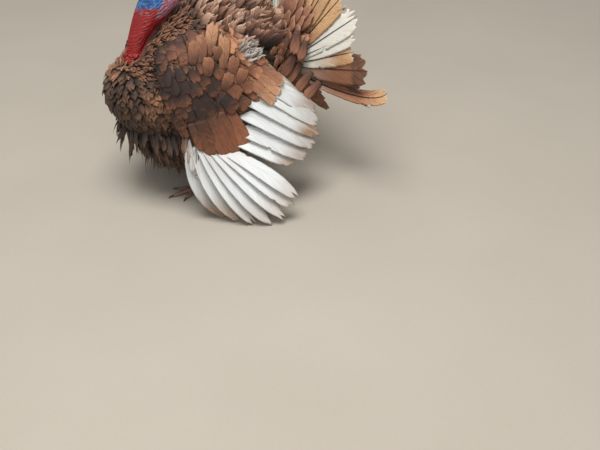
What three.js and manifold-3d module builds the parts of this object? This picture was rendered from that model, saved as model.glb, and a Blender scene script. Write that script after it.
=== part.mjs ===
// A life-size still model of a domestic turkey tom in full strut: breast out, neck drawn
// back, wings dropped until the primaries touch the floor, tail raised and spread.
// Millimetres, +Z up, the bird faces -Y, its left side is +X, and it stands on z = 0. The
// dimensions below are given from the floor under its left foot, in the middle plane.
import * as THREE from "three";
import { mergeVertices } from "three/addons/utils/BufferGeometryUtils.js";
import Module from "manifold-3d";

const wasm = await Module();
wasm.setup();

// ---------------------------------------------------------------- driving dimensions
const GAP = 0.35; // between two pieces that touch
const FOOT_SPREAD = 85; // a foot's middle, from the middle plane
const STEP_BACK = 92; // the right foot's middle, behind the left one's
const TOE_LENGTH = 78; // the middle toe without its claw
const TAIL_ROOT = new THREE.Vector3(0, 372, 338); // where the tail feathers' lines meet
const TAIL_FEATHERS = 18;
const TAIL_LENGTH = 366; // from the tail root to the tip of a main feather
const TAIL_SPREAD = 113; // degrees from upright to the outermost feather
const TAIL_LEAN = 18; // degrees that the feathers lean back
const TAIL_SWEEP = 19; // degrees more that the lowest ones are swept back
const COVERT_SPREAD = 142; // degrees from upright to the last covert
const COVERT_REACH = [272, 242, 176, 118, 112, 168, 238]; // their length, upright to lowest
const COVERT_DEPTH = [112, 104, 66, 30, 22, 22, 20]; // how thick they stand at the root
const PRIMARIES = 10;
const SECONDARIES = 13;
const HEAD_CENTRE = new THREE.Vector3(0, -56, 668);
const HEAD_TILT = 9; // degrees that the bill points below level
const EYE_RADIUS = 6.6;

// The trunk at stations from breast to tail root: y, top, bottom, half width.
const TRUNK_STATIONS = [
  [-234, 364, 342, 12],
  [-224, 402, 308, 60],
  [-190, 442, 256, 108],
  [-130, 488, 194, 150],
  [-50, 556, 126, 168],
  [40, 606, 108, 166],
  [130, 636, 124, 158],
  [220, 638, 164, 142],
  [296, 590, 222, 110],
  [342, 500, 272, 70],
  [362, 396, 316, 18],
];

// The neck at stations from its foot to the head: z, front, back, half width.
const NECK_STATIONS = [
  [396, -156, -112, 26],
  [440, -158, -112, 29],
  [488, -152, -104, 29],
  [530, -144, -80, 30],
  [570, -131, -34, 32],
  [606, -117, 16, 34],
  [630, -104, 32, 30],
  [654, -84, 26, 21],
  [674, -52, 2, 10],
];

// The left wing's outer face down to the coverts' tips: each row runs from the leading edge
// to the rim, and the rows run from the shoulder to the wrist.
const ARM_NET = [
  [[96, -88, 520], [124, 0, 566], [140, 96, 560], [136, 178, 496]],
  [[160, -104, 440], [194, -36, 474], [198, 74, 466], [176, 206, 444]],
  [[194, -94, 352], [226, -38, 372], [236, 66, 362], [224, 212, 345]],
  [[202, -78, 312], [232, -42, 298], [248, 36, 284], [252, 150, 276]],
  [[202, -64, 282], [230, -44, 236], [252, 18, 210], [264, 108, 206]],
];
// The hand's outer face, from the wrist to the tip of its bones.
const HAND_NET = [
  [[200, -62, 296], [232, -42, 244], [258, 84, 212]],
  [[212, -66, 224], [236, -42, 194], [254, 10, 174]],
  [[226, -54, 162], [238, -40, 150], [248, -20, 146]],
];
const ARM_THICKNESS = 30;
const WING_RIM = 6; // thickness where the covert tips end
const FLIGHT_ROOT = 5; // thickness of a row of flight feathers at its root

// Lines through the tips of the left wing's flight feathers, from the body outwards.
const SECONDARY_TIPS = [
  [182, 282, 408],
  [224, 344, 316],
  [256, 375, 237],
  [286, 350, 186],
  [313, 268, 145],
];
const PRIMARY_TIPS = [
  [405, 221, 80],
  [409, 191, 32],
  [397, 131, -5],
  [352, 70, -6],
  [288, 22, 0],
];

// ---------------------------------------------------------------- finishes
const finish = (color, roughness, metalness = 0) =>
  new THREE.MeshStandardMaterial({ color, roughness, metalness });
const FINISH = {
  breast: finish(0x4a3024, 0.8),
  mantle: finish(0x7a4a30, 0.75),
  covert: finish(0x8a4c2c, 0.7),
  flight: finish(0xe4e2dc, 0.6),
  tail: finish(0xb98a62, 0.65),
  under: finish(0xb9a795, 0.85),
  redSkin: finish(0xa3202a, 0.5),
  blueSkin: finish(0x4a86c8, 0.5),
  horn: finish(0xb8a587, 0.45),
  eye: finish(0x1c120c, 0.1),
  leg: finish(0x6b5048, 0.6),
  claw: finish(0x3a2c26, 0.4),
};

// ---------------------------------------------------------------- solids and cuts
const { lerp, degToRad, clamp } = THREE.MathUtils;

// A closed geometry as a solid that can be joined and cut, its faces turned outwards.
function solidOf(geometry) {
  const bare = new THREE.BufferGeometry();
  bare.setAttribute("position", geometry.getAttribute("position").clone());
  if (geometry.index) bare.setIndex(geometry.index.clone());
  const merged = mergeVertices(bare, 1e-3);
  const corners = [];
  const index = merged.index.array;
  for (let i = 0; i < index.length; i += 3) {
    const [a, b, c] = index.slice(i, i + 3);
    if (a !== b && b !== c && c !== a) corners.push(a, b, c);
  }
  const make = () =>
    new wasm.Manifold(
      new wasm.Mesh({
        numProp: 3,
        vertProperties: new Float32Array(merged.attributes.position.array),
        triVerts: new Uint32Array(corners),
      }),
    );
  const made = make();
  if (made.volume() > 0) return made;
  for (let i = 0; i < corners.length; i += 3) {
    [corners[i + 1], corners[i + 2]] = [corners[i + 2], corners[i + 1]];
  }
  return make();
}

// A solid as a geometry.
function geometryOf(solid) {
  const mesh = solid.getMesh();
  const geometry = new THREE.BufferGeometry();
  const places = new Float32Array(mesh.numVert * 3);
  for (let i = 0; i < mesh.numVert; i++) {
    const start = i * mesh.numProp;
    places.set(mesh.vertProperties.subarray(start, start + 3), i * 3);
  }
  geometry.setAttribute("position", new THREE.BufferAttribute(places, 3));
  geometry.setIndex(new THREE.BufferAttribute(new Uint32Array(mesh.triVerts), 1));
  geometry.computeVertexNormals();
  return geometry;
}

// The same solid, standing GAP further out all round, to cut its neighbour with. A vertex
// on a sharp edge moves further, so that each face beside it still moves by GAP.
function swollen(solid) {
  const geometry = geometryOf(solid);
  const place = geometry.getAttribute("position");
  const normal = geometry.getAttribute("normal");
  const leastDot = new Float32Array(place.count).fill(1);
  const at = (i) => new THREE.Vector3().fromBufferAttribute(place, i);
  const out = (i) => new THREE.Vector3().fromBufferAttribute(normal, i);
  const corners = geometry.index.array;
  for (let i = 0; i < corners.length; i += 3) {
    const [a, b, c] = corners.slice(i, i + 3);
    const face = at(b).sub(at(a)).cross(at(c).sub(at(a))).normalize();
    for (const k of [a, b, c]) leastDot[k] = Math.min(leastDot[k], out(k).dot(face));
  }
  for (let i = 0; i < place.count; i++) {
    const to = at(i).addScaledVector(out(i), GAP / Math.max(0.3, leastDot[i]));
    place.setXYZ(i, to.x, to.y, to.z);
  }
  return solidOf(geometry).add(solid);
}

const joined = (solids) => solids.reduce((whole, next) => whole.add(next));
const cutBy = (solid, ...cutters) =>
  cutters.reduce((left, cutter) => left.subtract(swollen(cutter)), solid);

// The largest of the pieces that a cut may leave.
function mainPiece(solid) {
  const pieces = solid.decompose();
  return pieces.reduce((best, next) => (next.volume() > best.volume() ? next : best));
}

// What stands above the floor, with a flat where it would have gone through.
function aboveFloor(solid) {
  const under = new THREE.BoxGeometry(2000, 2000, 400);
  under.translate(0, 0, -200);
  return solid.subtract(solidOf(under));
}

// ---------------------------------------------------------------- shapes
// Moves each vertex of a geometry to where place(v) says.
function mould(geometry, place) {
  const attribute = geometry.getAttribute("position");
  const v = new THREE.Vector3();
  for (let i = 0; i < attribute.count; i++) {
    v.fromBufferAttribute(attribute, i);
    const to = place(v);
    attribute.setXYZ(i, to.x, to.y, to.z);
  }
  return geometry;
}

// The turn and the step along of a unit sphere's vertex, its poles on the Y axis.
const turnOf = (v) => Math.atan2(v.z, v.x);
const stepOf = (v) => Math.acos(clamp(v.y, -1, 1)) / Math.PI;

// A value that runs smoothly through a list of equally spaced ones.
function along(values, t) {
  const at = clamp(t, 0, 1) * (values.length - 1);
  const i = Math.min(Math.floor(at), values.length - 2);
  const s = at - i;
  const [a, b, c, d] = [-1, 0, 1, 2].map(
    (k) => values[clamp(i + k, 0, values.length - 1)],
  );
  const slopeIn = (c - a) / 2;
  const slopeOut = (d - b) / 2;
  const s2 = s * s;
  const s3 = s2 * s;
  return (
    (2 * s3 - 3 * s2 + 1) * b +
    (s3 - 2 * s2 + s) * slopeIn +
    (3 * s2 - 2 * s3) * c +
    (s3 - s2) * slopeOut
  );
}

const pointAlong = (points, t) =>
  new THREE.Vector3(...[0, 1, 2].map((k) => along(points.map((p) => p[k]), t)));

// A round-ended limb along a path. shape(t) gives its reach to the side, front and back.
function limb(path, shape, around, rings, side = new THREE.Vector3(1, 0, 0)) {
  const curve = new THREE.CatmullRomCurve3(path);
  const ball = new THREE.SphereGeometry(1, around, rings);
  return mould(ball, (v) => {
    const t = (1 - Math.cos(Math.PI * stepOf(v))) / 2;
    const turn = turnOf(v);
    const tangent = curve.getTangentAt(t);
    const front = new THREE.Vector3().crossVectors(side, tangent).normalize();
    const across = new THREE.Vector3().crossVectors(tangent, front);
    const reach = shape(t);
    const pole = Math.sin(Math.PI * stepOf(v)) < 1e-6 ? 0 : 1;
    const forth = Math.sin(turn) > 0 ? reach.front : reach.back;
    return curve
      .getPointAt(t)
      .addScaledVector(across, -pole * Math.cos(turn) * reach.side)
      .addScaledVector(front, pole * Math.sin(turn) * forth);
  });
}

// How full a round-ended limb is at t, where each end is rounded over a share of it.
function rounded(t, startShare, endShare) {
  const start = Math.min(1, t / startShare);
  const end = Math.min(1, (1 - t) / endShare);
  return Math.sqrt(1 - (1 - start) ** 2) * Math.sqrt(1 - (1 - end) ** 2);
}

// A limb with round sections that tapers from one radius to another.
function taper(path, startRadius, endRadius, around = 10, rings = 8, ends = [0.08, 0.08]) {
  const points = path.map((p) => new THREE.Vector3(...p));
  const run = points.at(-1).clone().sub(points[0]).normalize();
  const side = Math.abs(run.x) > 0.8 ? new THREE.Vector3(0, 1, 0) : undefined;
  const shape = (t) => {
    const r = lerp(startRadius, endRadius, t) * rounded(t, ...ends);
    return { side: r, front: r, back: r };
  };
  return limb(points, shape, around, rings, side);
}

// A body through round sections: each station gives its place along the body, the section's
// high and low side and its half width. place(width, at, height) puts a point of it.
function sectioned(stations, around, rings, place) {
  const [ats, highs, lows, widths] = [0, 1, 2, 3].map((k) => stations.map((s) => s[k]));
  const ball = new THREE.SphereGeometry(1, around, rings);
  const shape = mould(ball, (v) => {
    const t = stepOf(v);
    const turn = turnOf(v);
    const pole = Math.sin(Math.PI * t) < 1e-6 ? 0 : 1;
    const [high, low] = [along(highs, t), along(lows, t)];
    const height = (high + low + pole * Math.sin(turn) * (high - low)) / 2;
    return place(pole * Math.cos(turn) * along(widths, t), along(ats, t), height);
  });
  return solidOf(shape);
}

// A row of overlapping feathers as one pleated sheet. place(t, reach) gives the point at
// t across the row (0 to 1) and reach from root (0) to the longest tips (1), face(t) the
// direction of its outer face and thick(t, reach) its thickness. Each feather is a pleat of
// some columns with a tip of its own, and notch is the share of the length that the slots
// between the tips take.
function featherRow({ count, columns, rows, place, face, thick, notch, pleat }) {
  const board = new THREE.BoxGeometry(1, 1, 1, columns * count, rows, 1);
  return solidOf(
    mould(board, (v) => {
      const t = v.x + 0.5;
      const column = Math.round(t * columns * count);
      const within = (column % columns) / columns - 0.5; // across one feather
      const level = (v.y + 0.5) ** 0.85;
      const slot = notch * Math.abs(2 * within) ** 3 * level;
      const reach = level * (1 - slot);
      const lift = pleat * within * Math.min(1, 2 * level) + v.z * thick(t, level);
      return place(t, reach).addScaledVector(face(t), lift);
    }),
  );
}

// ---------------------------------------------------------------- trunk and neck
const trunkSolid = () =>
  sectioned(TRUNK_STATIONS, 20, 14, (x, y, z) => new THREE.Vector3(x, y, z));

const neckTube = () =>
  sectioned(NECK_STATIONS, 14, 11, (x, z, y) => new THREE.Vector3(x, y, z));

// The big lobes at the foot of the wattle, and the lesser ones above them.
const neckLobes = () =>
  [
    [-13, -150, 428, 15],
    [13, -150, 428, 15],
    [-25, -138, 444, 13],
    [25, -138, 444, 13],
    [0, -151, 458, 12],
  ].map(([x, y, z, radius]) => {
    const lobe = new THREE.SphereGeometry(radius, 6, 5);
    lobe.scale(1, 0.85, 1.25);
    lobe.translate(x, y, z);
    return solidOf(lobe);
  });

// ---------------------------------------------------------------- head
const headTurn = new THREE.Quaternion().setFromAxisAngle(
  new THREE.Vector3(1, 0, 0),
  degToRad(HEAD_TILT),
);
// A place given from the middle of the head, with the bill level, in the part's frame.
const fromHead = (x, y, z) =>
  new THREE.Vector3(x, y, z).applyQuaternion(headTurn).add(HEAD_CENTRE);

function skullSolid() {
  const halfLength = 46;
  const ball = new THREE.SphereGeometry(1, 13, 9);
  return solidOf(
    mould(ball, (v) => {
      const t = stepOf(v); // 0 at the back of the head, 1 at the bill
      const turn = turnOf(v);
      const y = Math.cos(Math.PI * t) * halfLength;
      const fade = Math.sin(Math.PI * t) ** 0.72;
      const muzzle = clamp((t - 0.5) / 0.5, 0, 1);
      const side = lerp(23, 17, muzzle) * fade;
      const top = lerp(25, 18, muzzle) * fade;
      const jaw = lerp(27, 19, muzzle) * fade;
      const high = Math.sin(turn) > 0 ? top : jaw;
      return fromHead(-Math.cos(turn) * side, y, Math.sin(turn) * high);
    }),
  );
}

function billSolids() {
  const upper = taper(
    [[0, -36, 3], [0, -56, 3.5], [0, -72, 0.5], [0, -82, -7]],
    10.5, 2.2, 9, 7, [0.05, 0.12],
  );
  const lower = taper([[0, -36, -8], [0, -54, -7.6], [0, -71, -7.4]], 7.5, 2.6, 8, 6, [0.06, 0.2]);
  const placed = (geometry, widen) =>
    solidOf(mould(geometry, (v) => fromHead(v.x * widen, v.y, v.z)));
  return { upper: placed(upper, 0.92), lower: placed(lower, 1.12) };
}

function snoodSolid() {
  const path = [
    fromHead(-1, -34, 18),
    fromHead(-8, -46, 19),
    fromHead(-14, -52, 8),
    fromHead(-16, -50, -10),
    fromHead(-16, -46, -28),
  ];
  const shape = (t) => {
    const r = (6.2 + 2 * Math.sin(Math.PI * t)) * rounded(t, 0.1, 0.14);
    return { side: r, front: r * 0.9, back: r * 0.9 };
  };
  return solidOf(limb(path, shape, 8, 9));
}

const eyePlace = (side) => fromHead(side * 17.2, -15, 7);
function eyeSolid(side) {
  const ball = new THREE.SphereGeometry(EYE_RADIUS, 10, 7);
  const place = eyePlace(side);
  return solidOf(ball.translate(place.x, place.y, place.z));
}

// ---------------------------------------------------------------- legs
// A leg's points are given for the left one, from the middle of its foot.
const LEGS = {
  left: { side: 1, back: 0 },
  right: { side: -1, back: STEP_BACK },
};
const atLeg = ({ side, back }, points) =>
  points.map(([x, y, z]) => [side * (FOOT_SPREAD + x), y + back, z]);

function thighSolid(leg) {
  const hip = 22 - 0.55 * leg.back; // the hips stand side by side, whatever the feet do
  const path = atLeg(leg, [[3, hip, 258], [6, 4 + 0.4 * hip, 190], [5, 10, 140], [1, 16, 104]]);
  return solidOf(taper(path, 58, 24, 10, 7, [0.25, 0.16]));
}

function shankSolid(leg) {
  const path = atLeg(leg, [[0, 24, 150], [0, 16, 120], [0, 8, 70], [0, 4, 26], [0, 0, 14]]);
  return solidOf(taper(path, 13, 10, 8, 7, [0.06, 0.06]));
}

// Each toe: its turn from straight ahead (outwards is plus), length and root radius.
const TOES = {
  inner: { turn: -34, length: TOE_LENGTH * 0.74, radius: 8.4 },
  middle: { turn: 4, length: TOE_LENGTH, radius: 9.2 },
  outer: { turn: 40, length: TOE_LENGTH * 0.76, radius: 8.2 },
  hind: { turn: 168, length: 30, radius: 6.6, lift: 9 },
};
const CLAW_LENGTH = 17;

function toePoint(toe, reach, height) {
  const turn = degToRad(toe.turn);
  const start = toe.lift ? 6 : 2;
  return [Math.sin(turn) * (start + reach), -Math.cos(turn) * (start + reach), height];
}

function toeSolid(leg, toe) {
  const lift = toe.lift ?? 0;
  const path = [
    [-0.05, 12 + lift * 1.4],
    [0.25, 11 + lift],
    [0.5, 6.5 + lift * 0.5],
    [0.78, 6.5],
    [1, 4.6],
  ].map(([share, height]) => toePoint(toe, share * toe.length, height));
  return solidOf(taper(atLeg(leg, path), toe.radius, 5.2, 6, 5, [0.1, 0.12]));
}

function clawSolid(leg, toe) {
  const path = [
    [-5, 6.2],
    [CLAW_LENGTH * 0.45, 5.6],
    [CLAW_LENGTH, 0.9],
  ].map(([reach, height]) => toePoint(toe, toe.length + reach, height));
  return aboveFloor(solidOf(taper(atLeg(leg, path), 4.2, 1, 6, 4, [0.1, 0.2])));
}

function spurSolid(leg) {
  const path = atLeg(leg, [[-7, 14, 52], [-13, 32, 54], [-17, 46, 60]]);
  return solidOf(taper(path, 6, 1.2, 6, 4, [0.1, 0.2]));
}

function footSolid(leg) {
  const [[x, y, z]] = atLeg(leg, [[0, -2, 8]]);
  const pad = new THREE.SphereGeometry(1, 10, 6).scale(17, 19, 12).translate(x, y, z);
  const toes = Object.values(TOES).map((toe) => toeSolid(leg, toe));
  return aboveFloor(joined([solidOf(pad), ...toes]));
}

// ---------------------------------------------------------------- wings
// The point of a net's surface at u along its rows and v across them.
const netPoint = (net, u, v) =>
  pointAlong(net.map((row) => pointAlong(row, v).toArray()), u);

// The direction square to that surface, away from the body.
function netNormal(net, u, v) {
  const step = 0.01;
  const low = (value) => clamp(value - step, 0, 1);
  const high = (value) => clamp(value + step, 0, 1);
  const alongU = netPoint(net, high(u), v).sub(netPoint(net, low(u), v));
  const alongV = netPoint(net, u, high(v)).sub(netPoint(net, u, low(v)));
  const outwards = alongU.cross(alongV).normalize();
  return outwards.x < 0 ? outwards.negate() : outwards;
}

// A slab under a net's surface, thick behind the leading edge and thin at the rim.
function netSlab(net, thickness, rows, columns) {
  const board = new THREE.BoxGeometry(1, 1, 1, columns, rows, 1);
  const shape = mould(board, (p) => {
    const [u, v] = [0.5 - p.y, p.x + 0.5];
    const rise = Math.min(1, v / 0.2) ** 0.6;
    const fall = clamp((v - 0.35) / 0.65, 0, 1);
    const full = thickness * lerp(0.3, 1, rise) * lerp(1, 0.55, u);
    const depth = p.z > 0 ? 0 : Math.max(WING_RIM, lerp(full, WING_RIM, fall));
    return netPoint(net, u, v).addScaledVector(netNormal(net, u, v), -depth);
  });
  return solidOf(shape);
}

// A place on a net's rim, t = 0 to 1 from its first row down and round its last one.
function rimPoint(net, t, round) {
  const u = Math.min(1, t / (1 - round));
  const v = 1 - 0.75 * Math.max(0, (t - 1 + round) / Math.max(round, 1e-6));
  return netPoint(net, u, v).addScaledVector(netNormal(net, u, v), -WING_RIM / 2);
}

// Flight feathers that stand on a net's rim. bow(t) bends each one between root and tip.
function flightRow({ net, round, from, to, count, columns, tips, bow, notch }) {
  const face = new THREE.Vector3(0.82, 0.05, 0.57).normalize();
  const place = (t, reach) => {
    const root = rimPoint(net, lerp(from, to, t), round);
    const run = pointAlong(tips, t).sub(root);
    const stand = (GAP + 0.5) / run.length(); // clear of the rim
    return root
      .addScaledVector(run, lerp(stand, 1, reach))
      .addScaledVector(bow(t), 4 * reach * (1 - reach));
  };
  const thick = (t, reach) => lerp(FLIGHT_ROOT, 1.6, reach);
  return featherRow({
    count, columns, rows: 3, place, face: () => face, thick, notch, pleat: 5,
  });
}

function leftWing() {
  const arm = netSlab(ARM_NET, ARM_THICKNESS, 8, 5);
  const hand = cutBy(netSlab(HAND_NET, ARM_THICKNESS, 4, 4), arm);
  const secondaries = cutBy(
    flightRow({
      net: ARM_NET,
      round: 0,
      from: 0.06,
      to: 0.97,
      count: SECONDARIES,
      columns: 2,
      tips: SECONDARY_TIPS,
      bow: () => new THREE.Vector3(10, 0, 6),
      notch: 0.06,
    }),
    arm,
    hand,
  );
  const primaries = cutBy(
    flightRow({
      net: HAND_NET,
      round: 0.3,
      from: 0.12,
      to: 1,
      count: PRIMARIES,
      columns: 3,
      tips: PRIMARY_TIPS,
      bow: (t) => new THREE.Vector3(0, lerp(0, -28, t), lerp(10, -4, t)),
      notch: 0.07,
    }),
    arm,
    hand,
    secondaries,
  );
  return { arm, hand, secondaries, primaries: mainPiece(aboveFloor(primaries)) };
}

const mirrorX = (solid) =>
  solidOf(mould(geometryOf(solid), (v) => new THREE.Vector3(-v.x, v.y, v.z)));

// ---------------------------------------------------------------- tail
// The direction of a tail feather that stands theta degrees to the left of upright.
function tailDirection(theta) {
  const swept = clamp((Math.abs(theta) - 72) / (TAIL_SPREAD - 72), 0, 1);
  const lean = degToRad(TAIL_LEAN + TAIL_SWEEP * swept * swept);
  const turn = degToRad(theta);
  return new THREE.Vector3(
    Math.sin(turn) * Math.cos(lean),
    Math.sin(lean),
    Math.cos(turn) * Math.cos(lean),
  );
}

// The direction square to the fan there, on its front face.
function tailFront(theta) {
  const across = tailDirection(theta + 1).sub(tailDirection(theta - 1));
  return across.cross(tailDirection(theta)).normalize();
}

const acrossTail = (spread, t) => lerp(-spread, spread, t);

const tailFan = () =>
  featherRow({
    count: TAIL_FEATHERS,
    columns: 3,
    rows: 2,
    place: (t, reach) =>
      TAIL_ROOT.clone().addScaledVector(
        tailDirection(acrossTail(TAIL_SPREAD, t)),
        lerp(22, TAIL_LENGTH, reach),
      ),
    face: (t) => tailFront(acrossTail(TAIL_SPREAD, t)),
    thick: (t, reach) => lerp(5, 2, reach),
    notch: 0.07,
    pleat: 5,
  });

// A layer of coverts on the fan's front (side 1) or back (side -1), thick at its root and
// thin at its rim. reachOf and depthOf take the share of the spread from upright (0 to 1).
function covertLayer({ spread, reachOf, depthOf, count, side }) {
  const rim = 4;
  const clear = 5.5; // from the fan's middle surface
  const share = (t) => Math.abs(2 * t - 1);
  const front = (t) => tailFront(acrossTail(spread, t)).multiplyScalar(side);
  const thick = (t, reach) => lerp(depthOf(share(t)), rim, reach ** 1.4);
  const place = (t, reach) =>
    TAIL_ROOT.clone()
      .addScaledVector(tailDirection(acrossTail(spread, t)), lerp(24, reachOf(share(t)), reach))
      .addScaledVector(front(t), clear + thick(t, reach) / 2);
  return featherRow({
    count, columns: 2, rows: 3, place, face: front, thick, notch: 0.1, pleat: 0,
  });
}

// ---------------------------------------------------------------- assembly
const bird = new THREE.Group();

function addNode(name, solid, material) {
  const mesh = new THREE.Mesh(geometryOf(mainPiece(solid)), material);
  mesh.name = name;
  bird.add(mesh);
}

const { upper: billUpper, lower: billLower } = billSolids();
const eyes = { left: eyeSolid(1), right: eyeSolid(-1) };
const snood = snoodSolid();
const skull = skullSolid();
const neckWhole = joined([neckTube(), ...neckLobes()]);
const wing = leftWing();
const fan = tailFan();
const upperCoverts = covertLayer({
  spread: COVERT_SPREAD,
  reachOf: (share) => along(COVERT_REACH, share),
  depthOf: (share) => along(COVERT_DEPTH, share),
  count: 11,
  side: 1,
});
const underCoverts = covertLayer({
  spread: 96,
  reachOf: () => 172,
  depthOf: () => 26,
  count: 8,
  side: -1,
});

// Head: the eyes, bill and snood are let into the skull, and the skull into the neck.
const billTop = cutBy(billUpper, billLower);
const head = cutBy(skull, eyes.left, eyes.right, billTop, billLower);
const snoodOnly = cutBy(snood, head, billTop, billLower);
addNode("eye_left", eyes.left, FINISH.eye);
addNode("eye_right", eyes.right, FINISH.eye);
addNode("bill_upper", billTop, FINISH.horn);
addNode("bill_lower", billLower, FINISH.horn);
addNode("head", head, FINISH.blueSkin);
addNode("snood", snoodOnly, FINISH.redSkin);
const neck = mainPiece(cutBy(neckWhole, skull, eyes.left, eyes.right, billTop, billLower, snoodOnly));
addNode("neck", neck, FINISH.redSkin);

// Wings: the right one mirrors the left.
const wingFinish = {
  arm: FINISH.covert,
  hand: FINISH.covert,
  secondaries: FINISH.flight,
  primaries: FINISH.flight,
};
for (const [name, solid] of Object.entries(wing)) {
  addNode(`wing_left_${name}`, solid, wingFinish[name]);
  addNode(`wing_right_${name}`, mirrorX(solid), wingFinish[name]);
}

// Tail: the fan, with a layer of coverts on each face.
addNode("tail_fan", fan, FINISH.tail);
addNode("tail_coverts_upper", upperCoverts, FINISH.mantle);
addNode("tail_coverts_under", underCoverts, FINISH.under);

// Legs.
const legSolids = [];
for (const [label, leg] of Object.entries(LEGS)) {
  const foot = footSolid(leg);
  const spur = spurSolid(leg);
  const shank = cutBy(shankSolid(leg), foot, spur);
  const thigh = mainPiece(cutBy(thighSolid(leg), shank));
  const claws = Object.entries(TOES).map(([toeName, toe]) => [toeName, clawSolid(leg, toe)]);
  for (const [toeName, claw] of claws) addNode(`claw_${label}_${toeName}`, claw, FINISH.claw);
  addNode(`foot_${label}`, cutBy(foot, ...claws.map(([, claw]) => claw)), FINISH.leg);
  addNode(`spur_${label}`, spur, FINISH.claw);
  addNode(`shank_${label}`, shank, FINISH.leg);
  addNode(`thigh_${label}`, thigh, FINISH.breast);
  legSolids.push(thigh, shank);
}

// Trunk: cut back wherever another piece lies in it.
const trunk = cutBy(
  trunkSolid(),
  neckWhole,
  skull,
  upperCoverts,
  underCoverts,
  wing.arm,
  mirrorX(wing.arm),
  ...legSolids,
);
addNode("trunk", trunk, FINISH.breast);

// The part's origin is the middle of its outline on the floor.
const middle = new THREE.Box3().setFromObject(bird).getCenter(new THREE.Vector3());
bird.position.set(-middle.x, -middle.y, 0);
const part = new THREE.Group().add(bird);

export default part;
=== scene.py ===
"""A life-size museum model of a domestic turkey tom in full strut.

The CAD model gives every outline. This script grows the skin inside it and lays the
plumage over the skin, region by region, in metres and in the CAD model's own frame.
"""

import logging
import math
from collections.abc import Callable, Sequence
from dataclasses import dataclass, field
from enum import Enum

import bmesh
import bpy
import numpy as np
from bpy.types import ID, Material, Mesh, Node, NodeSocket, NodeTree, Object, bpy_prop_collection
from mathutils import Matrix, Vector, noise
from mathutils.bvhtree import BVHTree
from mathutils.kdtree import KDTree


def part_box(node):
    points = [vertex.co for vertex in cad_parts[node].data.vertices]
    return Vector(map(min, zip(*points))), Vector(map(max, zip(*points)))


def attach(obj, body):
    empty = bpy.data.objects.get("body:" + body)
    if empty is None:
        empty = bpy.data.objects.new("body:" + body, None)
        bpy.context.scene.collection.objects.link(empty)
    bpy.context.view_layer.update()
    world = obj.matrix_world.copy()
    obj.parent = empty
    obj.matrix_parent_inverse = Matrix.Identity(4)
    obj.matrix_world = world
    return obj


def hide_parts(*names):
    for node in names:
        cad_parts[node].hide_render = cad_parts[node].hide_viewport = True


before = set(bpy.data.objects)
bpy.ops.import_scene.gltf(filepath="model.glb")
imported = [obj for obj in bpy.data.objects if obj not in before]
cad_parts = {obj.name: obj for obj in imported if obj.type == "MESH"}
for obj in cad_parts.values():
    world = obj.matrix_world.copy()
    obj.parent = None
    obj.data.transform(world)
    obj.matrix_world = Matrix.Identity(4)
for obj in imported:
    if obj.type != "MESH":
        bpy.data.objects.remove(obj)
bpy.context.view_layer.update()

LOG = logging.getLogger("turkey")
Array = np.ndarray
Rule = Callable[..., Array]
Place = tuple[float, float, float]
SIDES = {"left": 1.0, "right": -1.0}
MIDDLE = np.array([0.0, 173.1, 0.0])  # mm, from the left foot's middle to the frame's origin
EYE_RADIUS = 0.0066


# ---- small maths
def placed(points: Sequence) -> Array:
    """Points given in mm from the floor under the left foot, in the frame's metres."""
    return (np.asarray(points, float) - MIDDLE) / 1000


def unit(vectors: Array) -> Array:
    """The same vectors, one long."""
    return vectors / np.maximum(np.linalg.norm(vectors, axis=-1, keepdims=True), 1e-12)


def flattened(ways: Array, normals: Array) -> Array:
    """Ways laid flat on the surface that the normals stand on."""
    return unit(ways - normals * (ways * normals).sum(1, keepdims=True))


def smoothstep(low: float, high: float, value: Array) -> Array:
    """0 below low, 1 above high and smooth between."""
    t = np.clip((value - low) / (high - low), 0, 1)
    return t * t * (3 - 2 * t)


def lerp(a: Array, b: Array, t: Array) -> Array:
    """The value a share t of the way from a to b."""
    return a + (b - a) * t


def along(values: Array, t: Array) -> Array:
    """A smooth line through equally spaced values.

    Args:
        values: One row for each value, or for each value and each t.
        t: Shares of the line, 0 to 1.

    Returns:
        The line's point for each t.
    """
    values = np.asarray(values, float)
    t = np.clip(np.asarray(t, float), 0, 1) * (len(values) - 1)
    start = np.minimum(t.astype(int), len(values) - 2)
    s = t - start

    def knot(step: int) -> Array:
        """The value that many knots on from each t's own."""
        at = np.clip(start + step, 0, len(values) - 1)
        return values[at, np.arange(len(t))] if values.ndim == 3 else values[at]

    a, b, c, d = (knot(step) for step in (-1, 0, 1, 2))
    if b.ndim > 1:
        s = s[:, None]
    s2, s3 = s * s, s * s * s
    rise = (s3 - 2 * s2 + s) * (c - a) / 2 + (s3 - s2) * (d - b) / 2
    return (2 * s3 - 3 * s2 + 1) * b + (3 * s2 - 2 * s3) * c + rise


def mirrored(points: Array, side: float) -> Array:
    """Left-side points, put on the side that the sign names."""
    return points * np.array([side, 1.0, 1.0])


def eye_axis(side: float) -> Array:
    """The way that the eye on one side looks."""
    return unit(np.array([side, -0.22, 0.06]))


def field_noise(points: Array, scale: float, seed: float = 0.0) -> Array:
    """Smooth noise of about -1 to 1 at each point, with features 1 / scale across."""
    shift = Vector((seed, 2.3 * seed, -seed))
    return np.array([noise.noise(Vector(p) * scale + shift) for p in points])


# ---- finishes
def colour(code: str) -> tuple[float, float, float, float]:
    """A screen colour, as six hex digits, made the linear one that shaders take."""
    def linear(value: float) -> float:
        """One channel without its gamma."""
        return value / 12.92 if value <= 0.04045 else ((value + 0.055) / 1.055) ** 2.4
    return (*(linear(v / 255) for v in bytes.fromhex(code)), 1.0)


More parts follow.
